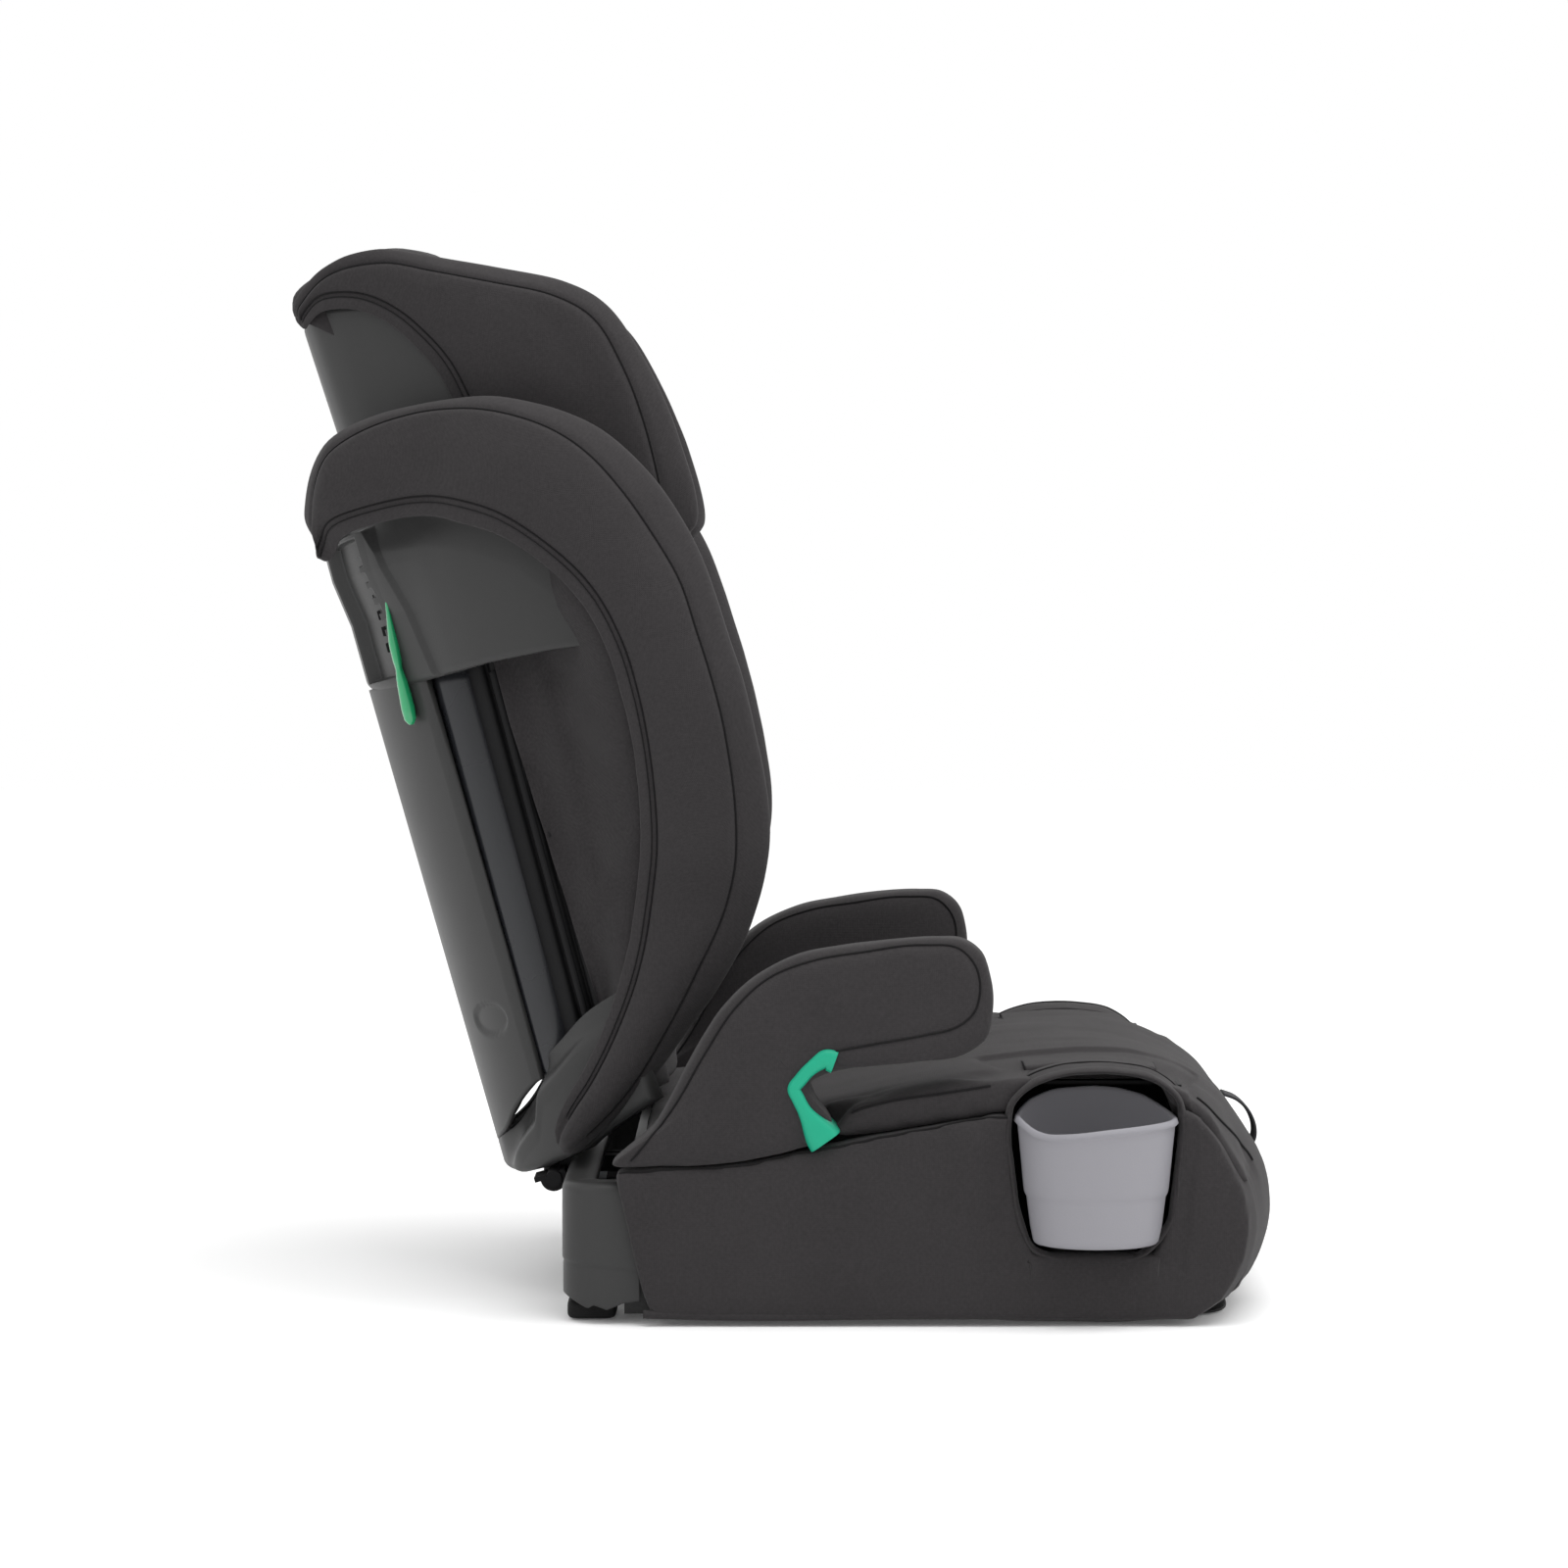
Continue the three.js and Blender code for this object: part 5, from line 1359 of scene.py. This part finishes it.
def makeCarrier(hand, side):
    # a short dark tongue under the cup, kept behind the seat's side
    low, high = nodeBox(f"cup_carrier_{hand}")
    reach = np.sort([side * 198, low[0] if side > 0 else high[0]])
    tongue = softBlock(f"cupTongue.{hand}", (reach[0], low[1], low[2]), (reach[1], high[1], high[2]), 0.3, 0.4)
    ridden(paint(tongue, blackMould), f"cup_holder_{hand}", "black_plastic", f"cup_carrier_{hand}")


def makeFloorPlate():
    low, high = nodeBox("base_floor")
    plate = softBlock("floorPlate", (low[0] + 8, -186, low[2]), (high[0] - 8, 182, high[2]), 0.2, 0.4)
    ridden(paint(plate, blackMould), "base", "shell_plastic", "base_floor")


def makeClip(hand):
    low, high = nodeBox(f"belt_clip_{hand}")
    clip = softBlock(f"beltClip.{hand}", low, high, 0.35, 0.45)
    ridden(paint(clip, tealMould), "headrest", "teal_guide", f"belt_clip_{hand}")


makeFloorPlate()
for hand, side in sides.items():
    makeCup(hand, side)
    makeCollar(hand, side)
    makeRoof(hand, side)
    makeCarrier(hand, side)
    makeClip(hand)
    makeGuide(hand, side)
    makeLever(hand, side)
makePullLoop()
print("cups, guides, levers and loop made")

# ---- seams of the seat
footHem = [(174, 7), (120, 5.6), (20, 6.4), (-80, 6.8), (-130, 8), (-150, 10), (-163, 14)]
for hand, side in sides.items():
    panel = bpy.data.objects[f"sidePanel.{hand}"]
    for label, curve in (("rear", sideSeam), ("front", frontSeam)):
        line = seamOn(f"panelSeam.{label}.{hand}", [(y, z - 1.5) for y, z in curve], panel, side, 0.9)
        if line:
            ridden(paint(line, seamThreadAndShade), "base", "charcoal_fabric")
    foot = curveThrough(footHem, 120)
    path = np.column_stack([side * np.interp(-foot[:, 0], [150, 200], [208.5, 203]), foot])
    hem = gridPiece(f"panelHem.{hand}", tubeAlong(path, 2.6, 12, flat=0.8), closeV=True, capEnds=True)
    ridden(paint(hem, charcoalCloth), "base", "charcoal_fabric")
    crestY = crestSeam[:, 0]
    crests = {"rear": crestSeam[(crestY < 50) & (crestY > -36)], "front": crestSeam[crestY < -160]}
    for label, crest in crests.items():
        name = f"crestSeam.{label}.{hand}"
        line = seamOn(name, crest - [0, 3.5], seatPad, side, 0.9, sink=0.1, spread=9, outermost=True)
        if line:
            ridden(paint(line, seamThreadAndShade), "base", "charcoal_fabric")
print("seat seams sewn")

# ---- camera, light and floor
cameraPlan = {"place": (-3.0, 0.089, 0.469), "lens": 107.1, "down": 2.91}
lightPlan = {
    "top": ((-0.5, -0.5, 2.3), (0, 0, 0.3), 2.0, 36),
    "front": ((-0.9, -2.4, 1.2), (0, 0, 0.35), 1.6, 7),
    "rear": ((-1.6, 2.0, 1.6), (0, 0.2, 0.4), 1.4, 4),
}


def placeCamera():
    data = bpy.data.cameras.new("sideCamera")
    data.lens = cameraPlan["lens"]
    data.sensor_width = 36
    camera = bpy.data.objects.new("sideCamera", data)
    camera.location = cameraPlan["place"]
    camera.rotation_euler = (math.radians(90 - cameraPlan["down"]), 0, math.radians(-90))
    bpy.context.scene.collection.objects.link(camera)
    bpy.context.scene.camera = camera


def placeLights():
    for name, (place, aim, size, power) in lightPlan.items():
        data = bpy.data.lights.new(name, "AREA")
        data.size = size
        data.energy = power
        lamp = bpy.data.objects.new(name, data)
        lamp.location = place
        lamp.rotation_euler = (Vector(aim) - Vector(place)).to_track_quat("-Z", "Y").to_euler()
        bpy.context.scene.collection.objects.link(lamp)
    world = bpy.data.worlds.new("studio")
    bpy.context.scene.world = world
    world.use_nodes = True
    world.node_tree.nodes["Background"].inputs["Color"].default_value = (1, 1, 1, 1)
    world.node_tree.nodes["Background"].inputs["Strength"].default_value = 1.0
    bpy.context.scene.view_settings.view_transform = "Standard"


def layFloor():
    mesh = bpy.data.meshes.new("floor")
    half = 6.0
    corners = [(-half, -half, -0.0005), (half, -half, -0.0005), (half, half, -0.0005), (-half, half, -0.0005)]
    mesh.from_pydata(corners, [], [(0, 1, 2, 3)])
    floor = bpy.data.objects.new("floor", mesh)
    bpy.context.scene.collection.objects.link(floor)
    material = bpy.data.materials.new("paleFloor")
    material.use_nodes = True
    shader = material.node_tree.nodes["Principled BSDF"]
    shader.inputs["Base Color"].default_value = (0.95, 0.95, 0.95, 1)
    shader.inputs["Roughness"].default_value = 0.9
    shader.inputs["Emission Color"].default_value = (1, 1, 1, 1)
    shader.inputs["Emission Strength"].default_value = 0.06
    mesh.materials.append(material)


placeCamera()
placeLights()
layFloor()
print("camera, lights and floor placed")
